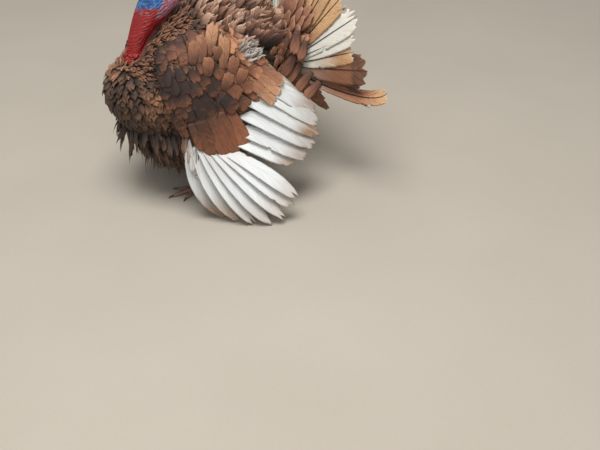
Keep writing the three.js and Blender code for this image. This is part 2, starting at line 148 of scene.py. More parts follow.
class Graph:
    """Adds and links the nodes of one node tree."""

    def __init__(self, tree: NodeTree) -> None:
        """Starts on an empty tree."""
        self.tree = tree
        tree.nodes.clear()

    def add(self, kind: str, inputs: dict | None = None, **settings: object) -> Node:
        """Adds a node.

        Args:
            kind: Its type, without the ShaderNode prefix.
            inputs: What each input takes, a value or another node's output socket.
            **settings: The node's own settings.

        Returns:
            The node.
        """
        node = self.tree.nodes.new(f"ShaderNode{kind}")
        for name, value in settings.items():
            setattr(node, name, value)
        for name, value in (inputs or {}).items():
            self.feed(node.inputs[name], value)
        return node

    def feed(self, socket: NodeSocket, value: object) -> None:
        """Links a socket, or sets its value, which is a colour if it is text."""
        if isinstance(value, NodeSocket):
            self.tree.links.new(value, socket)
        else:
            socket.default_value = colour(value) if isinstance(value, str) else value

    def math(self, operation: str, *values: object) -> NodeSocket:
        """A Math node's result, clamped if the operation's name ends in a plus sign."""
        node = self.tree.nodes.new("ShaderNodeMath")
        node.operation = operation.rstrip("+")
        node.use_clamp = operation.endswith("+")
        for socket, value in zip(node.inputs, values):
            self.feed(socket, value)
        return node.outputs[0]

    def times(self, a: object, b: object) -> NodeSocket:
        """The product of a and b."""
        return self.math("MULTIPLY", a, b)

    def scaled(self, value: object, by: object, plus: object) -> NodeSocket:
        """The value times by, plus the rest."""
        return self.math("MULTIPLY_ADD", value, by, plus)

    def ramp(self, value: object, low: float, high: float) -> NodeSocket:
        """0 where the value is under low, 1 where it is over high and smooth between."""
        node = self.add("MapRange", {"Value": value, "From Min": low, "From Max": high},
                        interpolation_type="SMOOTHSTEP")
        return node.outputs["Result"]

    def mix(self, share: object, a: object, b: object, blend: str = "MIX") -> NodeSocket:
        """Colour a with a share of colour b."""
        node = self.tree.nodes.new("ShaderNodeMix")
        node.data_type, node.blend_type = "RGBA", blend
        for index, value in ((0, share), (6, a), (7, b)):
            self.feed(node.inputs[index], value)
        return node.outputs[2]

    def noise(self, vector: object, scale: float, detail: float = 3.0) -> NodeSocket:
        """Noise over the surface, 0 to 1."""
        node = self.add("TexNoise", {"Vector": vector, "Scale": scale, "Detail": detail})
        return node.outputs["Fac"]

    def attribute(self, name: str) -> NodeSocket:
        """The value that the mesh holds under that name."""
        return self.add("Attribute", attribute_name=name).outputs["Fac"]

    def place(self) -> NodeSocket:
        """The point's own place on the object."""
        return self.add("TexCoord").outputs["Object"]

    def surface(self, shader: dict, bump: object = None, strength: float = 0.3,
                distance: float = 0.001) -> None:
        """Ends a material in a Principled shader.

        Args:
            shader: What the shader's inputs take.
            bump: The height that bends the normal.
            strength: How much of that bend is used.
            distance: The height's scale in metres.
        """
        node = self.add("BsdfPrincipled", shader)
        if bump is not None:
            normal = self.add("Bump", {"Height": bump, "Strength": strength, "Distance": distance})
            self.tree.links.new(normal.outputs["Normal"], node.inputs["Normal"])
        out = self.add("OutputMaterial")
        self.tree.links.new(node.outputs["BSDF"], out.inputs["Surface"])


def new_graph(name: str) -> tuple[Material, Graph]:
    """An empty material and the graph of its nodes."""
    material = bpy.data.materials.new(name)
    material.use_nodes = True
    return material, Graph(material.node_tree)


class VaneGroup:
    """The shader group of a feather: palette, tip, rim, shaft and barbs."""

    NAME = "feather_vane"
    COLOURS = ("Dark", "Middle", "Light", "Pale", "Tip", "Rim", "Shaft")
    VALUES = ("Tip Start", "Tip Share", "Rim Width", "Rim Share", "Shaft Share", "Base Shade",
              "Spread", "Slope", "Streaks", "Fade")

    @classmethod
    def tree(cls) -> NodeTree:
        """The group, built once."""
        return bpy.data.node_groups.get(cls.NAME) or cls.build()

    @classmethod
    def build(cls) -> NodeTree:
        """Builds the group.

        Returns:
            A group that puts out the feather's colour and its height.
        """
        tree = bpy.data.node_groups.new(cls.NAME, "ShaderNodeTree")
        graph = Graph(tree)
        for names, way, kind in ((cls.COLOURS, "INPUT", "Color"), (cls.VALUES, "INPUT", "Float"),
                                 (["Color"], "OUTPUT", "Color"), (["Height"], "OUTPUT", "Float")):
            for name in names:
                tree.interface.new_socket(name, in_out=way, socket_type=f"NodeSocket{kind}")
        given = tree.nodes.new("NodeGroupInput").outputs
        uv = graph.add("UVMap", uv_map="Vane").outputs["UV"]
        split = graph.add("SeparateXYZ", {"Vector": uv}).outputs
        across = graph.math("ABSOLUTE", graph.scaled(split["X"], 2.0, -1.0))
        length = split["Y"]
        tint, tone, pale = (graph.attribute(name) for name in ("tint", "tone", "pale"))
        blotch = graph.noise(graph.place(), 55.0)

        # Barbs run outwards and towards the tip; streaks follow them and part in places.
        barb = graph.math("SUBTRACT", length, graph.times(across, given["Slope"]))
        lane = graph.add("CombineXYZ", {
            "X": graph.times(barb, 38.0),
            "Y": graph.times(split["X"], 1.6),
            "Z": graph.times(tint, 61.0)}).outputs[0]
        streak = graph.noise(lane, 1.0, 2.0)
        fine = graph.math("SINE", graph.times(barb, 260.0))

        # The palette from dark to light, then towards pale.
        wander = graph.scaled(graph.math("SUBTRACT", tint, 0.5), given["Spread"],
                            graph.scaled(blotch, 0.3, -0.15))
        run = graph.times(graph.math("SUBTRACT", length, 0.72), given["Fade"])
        uneven = graph.times(graph.math("SUBTRACT", streak, 0.5), given["Streaks"])
        level = graph.math("ADD", graph.math("ADD", tone, run), wander)
        level = graph.math("ADD+", level, uneven)
        base = graph.mix(graph.ramp(level, 0.0, 0.5), given["Dark"], given["Middle"])
        base = graph.mix(graph.ramp(level, 0.5, 1.0), base, given["Light"])
        base = graph.mix(pale, base, given["Pale"])

        ragged = graph.math("ADD", length, graph.scaled(streak, 0.16, -0.08))
        past = graph.math("SUBTRACT", ragged, given["Tip Start"])
        tip = graph.times(graph.ramp(past, -0.03, 0.06), given["Tip Share"])
        base = graph.mix(tip, base, given["Tip"])

        edge = graph.math("MAXIMUM", across, graph.scaled(length, 2.2, -1.2))
        near = graph.math("ADD", edge, given["Rim Width"])
        rim = graph.times(graph.ramp(near, 1.0, 1.04), given["Rim Share"])
        base = graph.mix(rim, base, given["Rim"])

        shaft = graph.times(graph.ramp(across, 0.075, 0.03), given["Shaft Share"])
        base = graph.mix(shaft, base, given["Shaft"])

        light = graph.scaled(fine, 0.10, graph.math("ADD", 1.0, uneven))
        light = graph.times(light, graph.scaled(tint, 0.12, 0.94))
        root = graph.times(graph.ramp(length, 0.78, 0.15), given["Base Shade"])
        light = graph.times(light, graph.math("SUBTRACT", 1.0, root))
        shade = graph.add("CombineColor", {"Red": light, "Green": light, "Blue": light})
        done = graph.mix(1.0, base, shade.outputs[0], "MULTIPLY")

        height = graph.scaled(fine, 0.2, streak)
        height = graph.math("ADD", height, graph.ramp(across, 0.09, 0.0))
        out = tree.nodes.new("NodeGroupOutput")
        tree.links.new(done, out.inputs["Color"])
        tree.links.new(height, out.inputs["Height"])
        return tree


@dataclass(frozen=True)
class FeatherFinish:
    """The colours and markings of one kind of feather."""

    name: str
    dark: str
    middle: str
    light: str
    pale: str = "e2e3de"
    tip: str = "5a3e2e"
    rim: str = "342219"
    shaft: str = "3c2a20"
    tip_start: float = 0.8
    tip_share: float = 0.0
    rim_width: float = 0.1
    rim_share: float = 0.0
    shaft_share: float = 0.3
    base_shade: float = 0.45
    spread: float = 0.16
    slope: float = 0.3  # how far the barbs run along the feather
    streaks: float = 0.6
    fade: float = 0.5  # how much lighter the tip is than the root
    roughness: float = 0.68
    sheen: float = 0.03
    bump: float = 0.35

    def material(self) -> Material:
        """The finish as a material, made once."""
        ready = bpy.data.materials.get(self.name)
        if ready:
            return ready
        material, graph = new_graph(self.name)
        vane = graph.tree.nodes.new("ShaderNodeGroup")
        vane.node_tree = VaneGroup.tree()
        for name in VaneGroup.COLOURS + VaneGroup.VALUES:
            graph.feed(vane.inputs[name], getattr(self, name.lower().replace(" ", "_")))
        graph.surface({"Base Color": vane.outputs["Color"], "Roughness": self.roughness,
                       "Sheen Weight": self.sheen, "Sheen Roughness": 0.5},
                      vane.outputs["Height"], self.bump, 0.0012)
        return material


# ---- meshes
def in_scene(name: str, data: ID) -> Object:
    """A new object of the data, in the scene."""
    obj = bpy.data.objects.new(name, data)
    bpy.context.scene.collection.objects.link(obj)
    return obj


def new_object(name: str, mesh: Mesh, material: Material) -> Object:
    """A smooth-shaded object in the scene, with its material."""
    obj = in_scene(name, mesh)
    mesh.materials.clear()
    mesh.materials.append(material)
    mesh.polygons.foreach_set("material_index", np.zeros(len(mesh.polygons), np.int32))
    mesh.polygons.foreach_set("use_smooth", np.ones(len(mesh.polygons), bool))
    return obj


def finish_piece(obj: Object, slot: str, *nodes: str) -> Object:
    """Rides a piece on the body, hides the CAD nodes that it stands for and logs its triangles."""
    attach(obj, "root")
    if nodes:
        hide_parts(*nodes)
    LOG.info("%s: %d triangles", obj.name, sum(len(p.vertices) - 2 for p in obj.data.polygons))
    return obj


def read(items: bpy_prop_collection, name: str, width: int = 3, kind: type = float) -> Array:
    """One property of a mesh's parts, a row for each part."""
    values = np.empty(len(items) * width, kind)
    items.foreach_get(name, values)
    return values.reshape(-1, width)


def shape(mesh: Mesh) -> tuple[Array, Array]:
    """A mesh's vertices and their normals, one row each."""
    return read(mesh.vertices, "co"), read(mesh.vertices, "normal")


def hold(mesh: Mesh, name: str, values: Array) -> None:
    """Gives a mesh a value for each vertex, under a name that materials read."""
    data = mesh.attributes.new(name, "FLOAT", "POINT").data
    data.foreach_set("value", values.astype(np.float32))


def node_arrays(*names: str) -> tuple[Array, Array]:
    """The vertices and triangles of CAD nodes, in one pair of arrays."""
    points, faces, count = [], [], 0
    for name in names:
        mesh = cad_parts[name].data
        mesh.calc_loop_triangles()
        points.append(read(mesh.vertices, "co"))
        faces.append(read(mesh.loop_triangles, "vertices", 3, int) + count)
        count += len(mesh.vertices)
    return np.concatenate(points), np.concatenate(faces)


def move_vertices(mesh: Mesh, points: Array) -> None:
    """Puts a mesh's vertices at the points."""
    mesh.vertices.foreach_set("co", points.ravel())
    mesh.update()


def node_copy(nodes: Sequence[str], swell: float = 0.0) -> Mesh:
    """A merged copy of CAD nodes.

    Args:
        nodes: Their names.
        swell: How far each one's surface moves out, so that neighbours touch.

    Returns:
        One mesh that holds them all.
    """
    whole = bmesh.new()
    for node in nodes:
        part = bmesh.new()
        part.from_mesh(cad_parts[node].data)
        bmesh.ops.remove_doubles(part, verts=part.verts, dist=2e-6)
        part.normal_update()
        for vertex in part.verts:
            vertex.co += vertex.normal * swell
        mesh = bpy.data.meshes.new(node)
        part.to_mesh(mesh)
        part.free()
        whole.from_mesh(mesh)
        bpy.data.meshes.remove(mesh)
    mesh = bpy.data.meshes.new("+".join(nodes)[:40])
    whole.to_mesh(mesh)
    whole.free()
    return mesh


def with_modifiers(mesh: Mesh, *steps: tuple[str, dict]) -> Mesh:
    """A mesh after some modifiers.

    Args:
        mesh: The mesh, which is used up.
        *steps: Each modifier's type and settings, in order.

    Returns:
        The new mesh.
    """
    holder = in_scene("holder", mesh)
    for kind, settings in steps:
        modifier = holder.modifiers.new(kind.lower(), kind)
        for name, value in settings.items():
            setattr(modifier, name, value)
    view = bpy.context.evaluated_depsgraph_get()
    made = bpy.data.meshes.new_from_object(holder.evaluated_get(view))
    bpy.data.objects.remove(holder)
    bpy.data.meshes.remove(mesh)
    return made


def remeshed(mesh: Mesh, voxel: float, smooth: int) -> Mesh:
    """One even, smoothed surface round a mesh.

    Args:
        mesh: The mesh, which is used up.
        voxel: The new faces' size.
        smooth: How often it is smoothed.

    Returns:
        The new mesh.
    """
    return with_modifiers(
        mesh,
        ("REMESH", {"mode": "VOXEL", "voxel_size": voxel, "adaptivity": 0.0}),
        ("SMOOTH", {"factor": 0.5, "iterations": smooth}),
    )


class Ground:
    """The surface of some CAD nodes, which feathers are rooted under."""

    def __init__(self, *nodes: str) -> None:
        """Gathers the nodes' faces in one tree."""
        self.points, self.faces = node_arrays(*nodes)
        self.tree = BVHTree.FromPolygons(self.points.tolist(), self.faces.tolist())

    def scatter(self, spacing: float, seed: int) -> tuple[Array, Array]:
        """Points spread evenly over the surface.

        Args:
            spacing: The least distance between two of them.
            seed: What the random choice starts from.

        Returns:
            The points and the surface's normals there.
        """
        rng = np.random.default_rng(seed)
        a, b, c = (self.points[self.faces[:, k]] for k in range(3))
        square = np.cross(b - a, c - a)
        area = np.linalg.norm(square, axis=1) / 2
        count = int(area.sum() / spacing**2 * 5)
        face = rng.choice(len(area), count, p=area / area.sum())
        s, t = rng.random(count), rng.random(count)
        flip = s + t > 1
        s, t = np.where(flip, 1 - s, s)[:, None], np.where(flip, 1 - t, t)[:, None]
        tries = a[face] + s * (b - a)[face] + t * (c - a)[face]
        near = KDTree(count)
        for index, point in enumerate(tries):
            near.insert(point, index)
        near.balance()
        free = np.ones(count, bool)
        kept = []
        for index in range(count):
            if free[index]:
                kept.append(index)
                for _, other, _ in near.find_range(tries[index], spacing):
                    free[other] = False
        return tries[kept], unit(square)[face][kept]

    def nearest(self, points: Array) -> tuple[Array, Array]:
        """The surface's nearest points, and its normals there."""
        found = [self.tree.find_nearest(p)[:2] for p in points.tolist()]
        return (np.array([f[0] for f in found]), np.array([f[1] for f in found]))

    def distance(self, points: Array) -> Array:
        """How far each point is from the surface."""
        return np.linalg.norm(self.nearest(points)[0] - points, axis=1)


# ---- feathers
@dataclass(frozen=True)
class Vane:
    """The build of one kind of feather.

    Each is a closed blade of rows from root to tip and an odd number of columns across.
    Shares are of the feather's length, or of its half width.
    """

    rows: int = 5
    columns: int = 3
    root: float = 0.25  # width at the root
    widest: float = 0.6  # where it is full
    end: float = 0.75  # width at the tip
    round_off: float = 0.25  # how much shorter the edges are than the middle
    square: float = 2.5  # the tip outline's power: more is squarer
    cup: float = 0.2  # how far the edges droop
    ragged: float = 0.12  # uneven edges
    split: float = 0.0  # chance that an edge has a slot
    thick: float = 0.0012
    lead: float = 1.0  # the left vane's width, against the right one's

    @property
    def ring(self) -> int:
        """How many vertices go once round the blade."""
        return 2 * (self.columns - 1)

    def lattice(self) -> tuple[Array, Array, Array]:
        """Each vertex's place across (-1 to 1), along (0 to 1) and its side (1, -1 or 0)."""
        top = np.linspace(-1, 1, self.columns)
        across = np.concatenate([top, top[-2:0:-1]])
        side = np.concatenate([[0], np.ones(self.columns - 2), [0], -np.ones(self.columns - 2)])
        rows = np.linspace(0, 1, self.rows + 1)
        return (np.tile(across, self.rows + 1), np.repeat(rows, self.ring),
                np.tile(side, self.rows + 1))

    def faces(self) -> list[tuple[int, ...]]:
        """The blade's faces, turned outwards, with both ends closed."""
        ring, last = self.ring, self.rows * self.ring
        quads = [(r * ring + j, r * ring + (j + 1) % ring, (r + 1) * ring + (j + 1) % ring,
                  (r + 1) * ring + j) for r in range(self.rows) for j in range(ring)]
        under = [0, *range(ring - 1, self.columns - 1, -1), self.columns - 1]
        ends = []
        for j in range(self.columns - 1):
            root = dict.fromkeys((j, under[j], under[j + 1], j + 1))
            ends += [tuple(root), tuple(last + k for k in reversed(root))]
        return quads + ends

    def profile(self, length: Array) -> Array:
        """The width at each share of the length."""
        rise = np.sin(np.clip(length / self.widest, 0, 1) * np.pi / 2) ** 0.9
        fall = np.clip((length - self.widest) / (1 - self.widest), 0, 1) ** 2
        return (self.root + (1 - self.root) * rise) * (1 - (1 - self.end) * fall)


@dataclass
class Plumes:
    """Feathers of one kind, waiting to be made one mesh.

    Each runs from its root to its tip in a bend whose handle is the middle point.
    """

    roots: Array
    middles: Array
    tips: Array
    ups: Array  # the way that the outer face looks
    widths: Array | float  # half widths
    tone: Array | float = 0.5
    pale: Array | float = 0.0

    def __post_init__(self) -> None:
        """Gives every feather its own width, tone and share of white."""
        for name in ("widths", "tone", "pale"):
            if np.ndim(getattr(self, name)) == 0:
                setattr(self, name, np.full(len(self.roots), getattr(self, name)))

    @classmethod
    def joined(cls, parts: Sequence["Plumes"]) -> "Plumes":
        """Several sets as one."""
        names = cls.__dataclass_fields__
        return cls(*(np.concatenate([getattr(p, name) for p in parts]) for name in names))

    def both_sides(self) -> "Plumes":
        """These and their mirror images."""
        flip = np.array([-1.0, 1.0, 1.0])
        other = Plumes(self.roots * flip, self.middles * flip, self.tips * flip, self.ups * flip,
                       self.widths, self.tone, self.pale)
        return Plumes.joined([self, other])

    def points(self, vane: Vane, rng: np.random.Generator) -> Array:
        """Every feather's vertices.

        Args:
            vane: Their build.
            rng: Where the uneven edges come from.

        Returns:
            The vertices, by feather, vertex and axis.
        """
        across, length, side = vane.lattice()
        count = len(self.roots)
        column = np.round((across + 1) / 2 * (vane.columns - 1)).astype(int)
        row = np.round(length * vane.rows).astype(int)
        edge = np.abs(across)
        uneven = rng.normal(0, 1, (count, vane.columns))[:, column] * vane.ragged * length**3
        short = vane.round_off * edge**vane.square * length**2
        reach = length * (1 - short) * (1 - np.clip(np.abs(uneven), 0, 0.5))
        wobble = rng.normal(0, 1, (count, vane.rows + 1, 2))
        slots = rng.random((count, vane.rows + 1, 2)) < vane.split
        which = (across > 0).astype(int)
        bite = 1 + 0.3 * vane.ragged * wobble[:, row, which] - 0.35 * slots[:, row, which]
        bite = np.where(edge > 0.99, bite, 1 + 0.3 * (bite - 1) * edge)
        lead = np.where(across < 0, vane.lead, 1.0)
        half = self.widths[:, None] * vane.profile(length)
        out = across * half * lead * bite

        t = reach[..., None]
        a, b, c = (p[:, None, :] for p in (self.roots, self.middles, self.tips))
        spine = (1 - t) ** 2 * a + 2 * t * (1 - t) * b + t * t * c
        heading = unit(2 * (1 - t) * (b - a) + 2 * t * (c - b))
        sideways = unit(np.cross(heading, np.broadcast_to(self.ups[:, None, :], heading.shape)))
        up = np.cross(sideways, heading)
        ridge = vane.thick * (1 - 0.75 * length) * (1 - 0.55 * edge) * side / 2
        rise = ridge - vane.cup * half * edge**2
        return spine + sideways * out[..., None] + up * rise[..., None]


class Unwrap:
    """The unwrap of the skin's own shape, which places each feather's patch."""

    def __init__(self, mesh: Mesh) -> None:
        """Unwraps a copy of the mesh by its own angles."""
        holder = in_scene("unwrap", mesh.copy())
        bpy.context.view_layer.objects.active = holder
        holder.select_set(True)
        bpy.ops.object.mode_set(mode="EDIT")
        bpy.ops.mesh.select_all(action="SELECT")
        bpy.ops.uv.smart_project(angle_limit=math.radians(66), island_margin=0.002)
        bpy.ops.object.mode_set(mode="OBJECT")
        flat = holder.data
        flat.calc_loop_triangles()
        corners = read(flat.loop_triangles, "vertices", 3, int)
        loops = read(flat.loop_triangles, "loops", 3, int)
        self.uv = read(flat.uv_layers.active.data, "uv", 2)[loops]
        points = read(flat.vertices, "co")
        self.corners = points[corners]
        self.tree = BVHTree.FromPolygons(points.tolist(), corners.tolist())
        bpy.data.objects.remove(holder)
        bpy.data.meshes.remove(flat)

    def at(self, points: Array) -> Array:
        """The unwrap's place for each point's nearest skin."""
        found = [self.tree.find_nearest(p) for p in points.tolist()]
        on = np.array([f[0] for f in found])
        face = np.array([f[2] for f in found])
        a, b, c = (self.corners[face, k] for k in range(3))
        ab, ac, ap = b - a, c - a, on - a
        d00, d01, d11 = (ab * ab).sum(1), (ab * ac).sum(1), (ac * ac).sum(1)
        d20, d21 = (ap * ab).sum(1), (ap * ac).sum(1)
        scale = np.maximum(d00 * d11 - d01 * d01, 1e-18)
        s = ((d11 * d20 - d01 * d21) / scale)[:, None]
        t = ((d00 * d21 - d01 * d20) / scale)[:, None]
        p, q, r = (self.uv[face, k] for k in range(3))
        return np.clip(p + s * (q - p) + t * (r - p), 0, 1)


class Coat:
    """Makes plumes into pieces of the coat."""

    PATCH = 0.003  # how far across a feather is on the baking map
    FLOOR = 0.0006  # the lowest that a feather lies

    def __init__(self, unwrap: Unwrap) -> None:
        """Keeps the skin's unwrap."""
        self.unwrap = unwrap

    def piece(self, name: str, slot: str, finish: FeatherFinish, vane: Vane, plumes: Plumes,
              seed: int, nodes: Sequence[str] = (), side: float = 1.0) -> Object:
        """Makes one piece.

        Args:
            name: The piece's name.
            slot: Not used.
            finish: Its look.
            vane: The feathers' build.
            plumes: The feathers.
            seed: What their unevenness starts from.
            nodes: The CAD nodes that it stands for.
            side: -1 to mirror the feathers to the right.

        Returns:
            The piece's object.
        """
        rng = np.random.default_rng(seed)
        points = plumes.points(vane, rng)
        points[..., 0] *= side
        points[..., 2] = np.maximum(points[..., 2], self.FLOOR)
        count, size = points.shape[:2]
        faces = vane.faces() if side > 0 else [face[::-1] for face in vane.faces()]
        loops = np.concatenate([np.array(f) for f in faces])
        totals = np.array([len(f) for f in faces])
        every = (loops[None, :] + size * np.arange(count)[:, None]).ravel()
        mesh = bpy.data.meshes.new(name)
        mesh.vertices.add(count * size)
        mesh.vertices.foreach_set("co", points.ravel())
        mesh.loops.add(len(every))
        mesh.loops.foreach_set("vertex_index", every)
        starts = np.concatenate([[0], np.cumsum(np.tile(totals, count))[:-1]])
        mesh.polygons.add(len(starts))
        mesh.polygons.foreach_set("loop_start", starts)
        mesh.update(calc_edges=True)

        across, length, _ = vane.lattice()
        own = np.stack([across / 2 + 0.5, length], 1)
        roots = self.unwrap.at(mirrored(plumes.roots, side))
        patch = roots[:, None, :] + (own - 0.5) * self.PATCH
        self.map_uv(mesh, "Vane", np.tile(own, (count, 1))[every])
        self.map_uv(mesh, "OFBake", patch.reshape(-1, 2)[every])
        for label, values in (("tint", rng.random(count)), ("tone", plumes.tone),
                              ("pale", plumes.pale)):
            if values.ndim == 1:
                values = np.repeat(values[:, None], size, 1)
            else:
                values = values[:, np.round(length * (values.shape[1] - 1)).astype(int)]
            hold(mesh, label, values.ravel())
        return finish_piece(new_object(name, mesh, finish.material()), slot, *nodes)

    @staticmethod
    def map_uv(mesh: Mesh, name: str, places: Array) -> None:
        """Gives a mesh a UV map with one place for each corner."""
        layer = mesh.uv_layers.new(name=name)
        layer.data.foreach_set("uv", np.ascontiguousarray(places, np.float32).ravel())


# ---- wings as the CAD has them
@dataclass(frozen=True)
class Net:
    """A surface through rows of points, in the frame's metres."""

    rows: Array

    def point(self, u: Array, v: Array) -> Array:
        """The points at shares u along the rows' order and v along each row."""
        return along(np.stack([along(row, v) for row in self.rows]), u)

    def normal(self, u: Array, v: Array) -> Array:
        """The directions square to it there, away from the body."""
        step = 0.01
        down = self.point(u + step, v) - self.point(np.clip(u - step, 0, 1), v)
        back = self.point(u, v + step) - self.point(u, np.clip(v - step, 0, 1))
        out = unit(np.cross(down, back))
        return out * np.sign(out[:, :1])


ARM = Net(placed([
    [[96, -88, 520], [124, 0, 566], [140, 96, 560], [136, 178, 496]],
    [[160, -104, 440], [194, -36, 474], [198, 74, 466], [176, 206, 444]],
    [[194, -94, 352], [226, -38, 372], [236, 66, 362], [224, 212, 345]],
    [[202, -78, 312], [232, -42, 298], [248, 36, 284], [252, 150, 276]],
    [[202, -64, 282], [230, -44, 236], [252, 18, 210], [264, 108, 206]],
]))
HAND = Net(placed([
    [[200, -62, 296], [232, -42, 244], [258, 84, 212]],
    [[212, -66, 224], [236, -42, 194], [254, 10, 174]],
    [[226, -54, 162], [238, -40, 150], [248, -20, 146]],
]))
SECONDARY_ROOTS = np.array([[159, -60, 512], [172, -48, 478], [192, -30, 428],
                            [230, -62, 336], [247, -98, 252]]) / 1000
SECONDARY_TIPS = placed([[183, 236, 411], [215, 318, 331], [246, 374, 252], [286, 348, 186],
                         [312, 264, 147]])
PRIMARY_ROOTS = np.array([[251, -130, 221], [247, -158, 227], [241, -185, 233],
                          [236, -208, 240], [225, -228, 240]]) / 1000
PRIMARY_BENDS = np.array([[338, -36, 173], [334, -76, 136], [322, -129, 112],
                          [291, -182, 107], [230, -252, 104]]) / 1000
PRIMARY_TIPS = np.array([[405, 48, 80], [409, 18, 32], [397, -42, 4], [352, -104, 4],
                         [287, -150, 4]]) / 1000
FLIGHT_FACE = unit(np.array([0.82, 0.05, 0.57]))
WINGS = ("wing_left_arm", "wing_left_hand", "wing_right_arm", "wing_right_hand")
TAIL_ROOT = placed([0, 372, 338])
RUMP_MIDDLE, RUMP_SIZE = np.array([0.0, 0.168, 0.352]), np.array([0.052, 0.070, 0.058])


# ---- the skin
@dataclass
class Neck:
    """The bare neck's sections and the folds on its skin."""

    HEIGHTS = np.array([396, 440, 488, 530, 570, 606, 630, 654, 674]) / 1000
    FRONTS = (np.array([-156, -158, -152, -144, -131, -117, -104, -84, -52]) - MIDDLE[1]) / 1000
    BACKS = (np.array([-112, -112, -104, -80, -34, 16, 32, 26, 2]) - MIDDLE[1]) / 1000
    fold_run: float = 0.0082  # from one fold to the next
    fold_rise: float = 0.42  # how steeply the folds climb towards the nape
    fold_depth: float = 0.0015
    knob_run: float = 0.011
    knob_depth: float = 0.0032

    def share(self, points: Array) -> Array:
        """How far back each point is, 0 at the throat and 1 at the nape."""
        front = np.interp(points[:, 2], self.HEIGHTS, self.FRONTS)
        back = np.interp(points[:, 2], self.HEIGHTS, self.BACKS)
        return (points[:, 1] - front) / (back - front)

    def folds(self, points: Array) -> Array:
        """The height of the skin's folds and knobs at each point, about -1 to 1."""
        drift = field_noise(points, 30.0) * 0.9 + field_noise(points, 95.0, 3.0) * 0.32
        climb = points[:, 2] - self.fold_rise * (points[:, 1] + 0.3)
        wave = np.sin(2 * np.pi * (climb / self.fold_run + drift))
        break_up = 0.5 + 0.55 * field_noise(points, 60.0, 9.0)
        smooth_front = smoothstep(0.10, 0.34, self.share(points))
        low = 1 - smoothstep(0.5, 0.56, points[:, 2])
        return wave * break_up * np.maximum(smooth_front, 0.25 + 0.6 * low)

    def knobs(self, points: Array) -> Array:
        """The height of the wattle's round knobs at each point, 0 to 1."""
        near = np.array([noise.voronoi(Vector(p) / self.knob_run)[0][0] for p in points])
        low = 1 - smoothstep(0.455, 0.55, points[:, 2])
        above = 0.34 * smoothstep(0.12, 0.4, self.share(points)) * (points[:, 2] < 0.64)
        return np.clip(1 - near * 1.35, 0, 1) ** 0.7 * np.maximum(low, above)


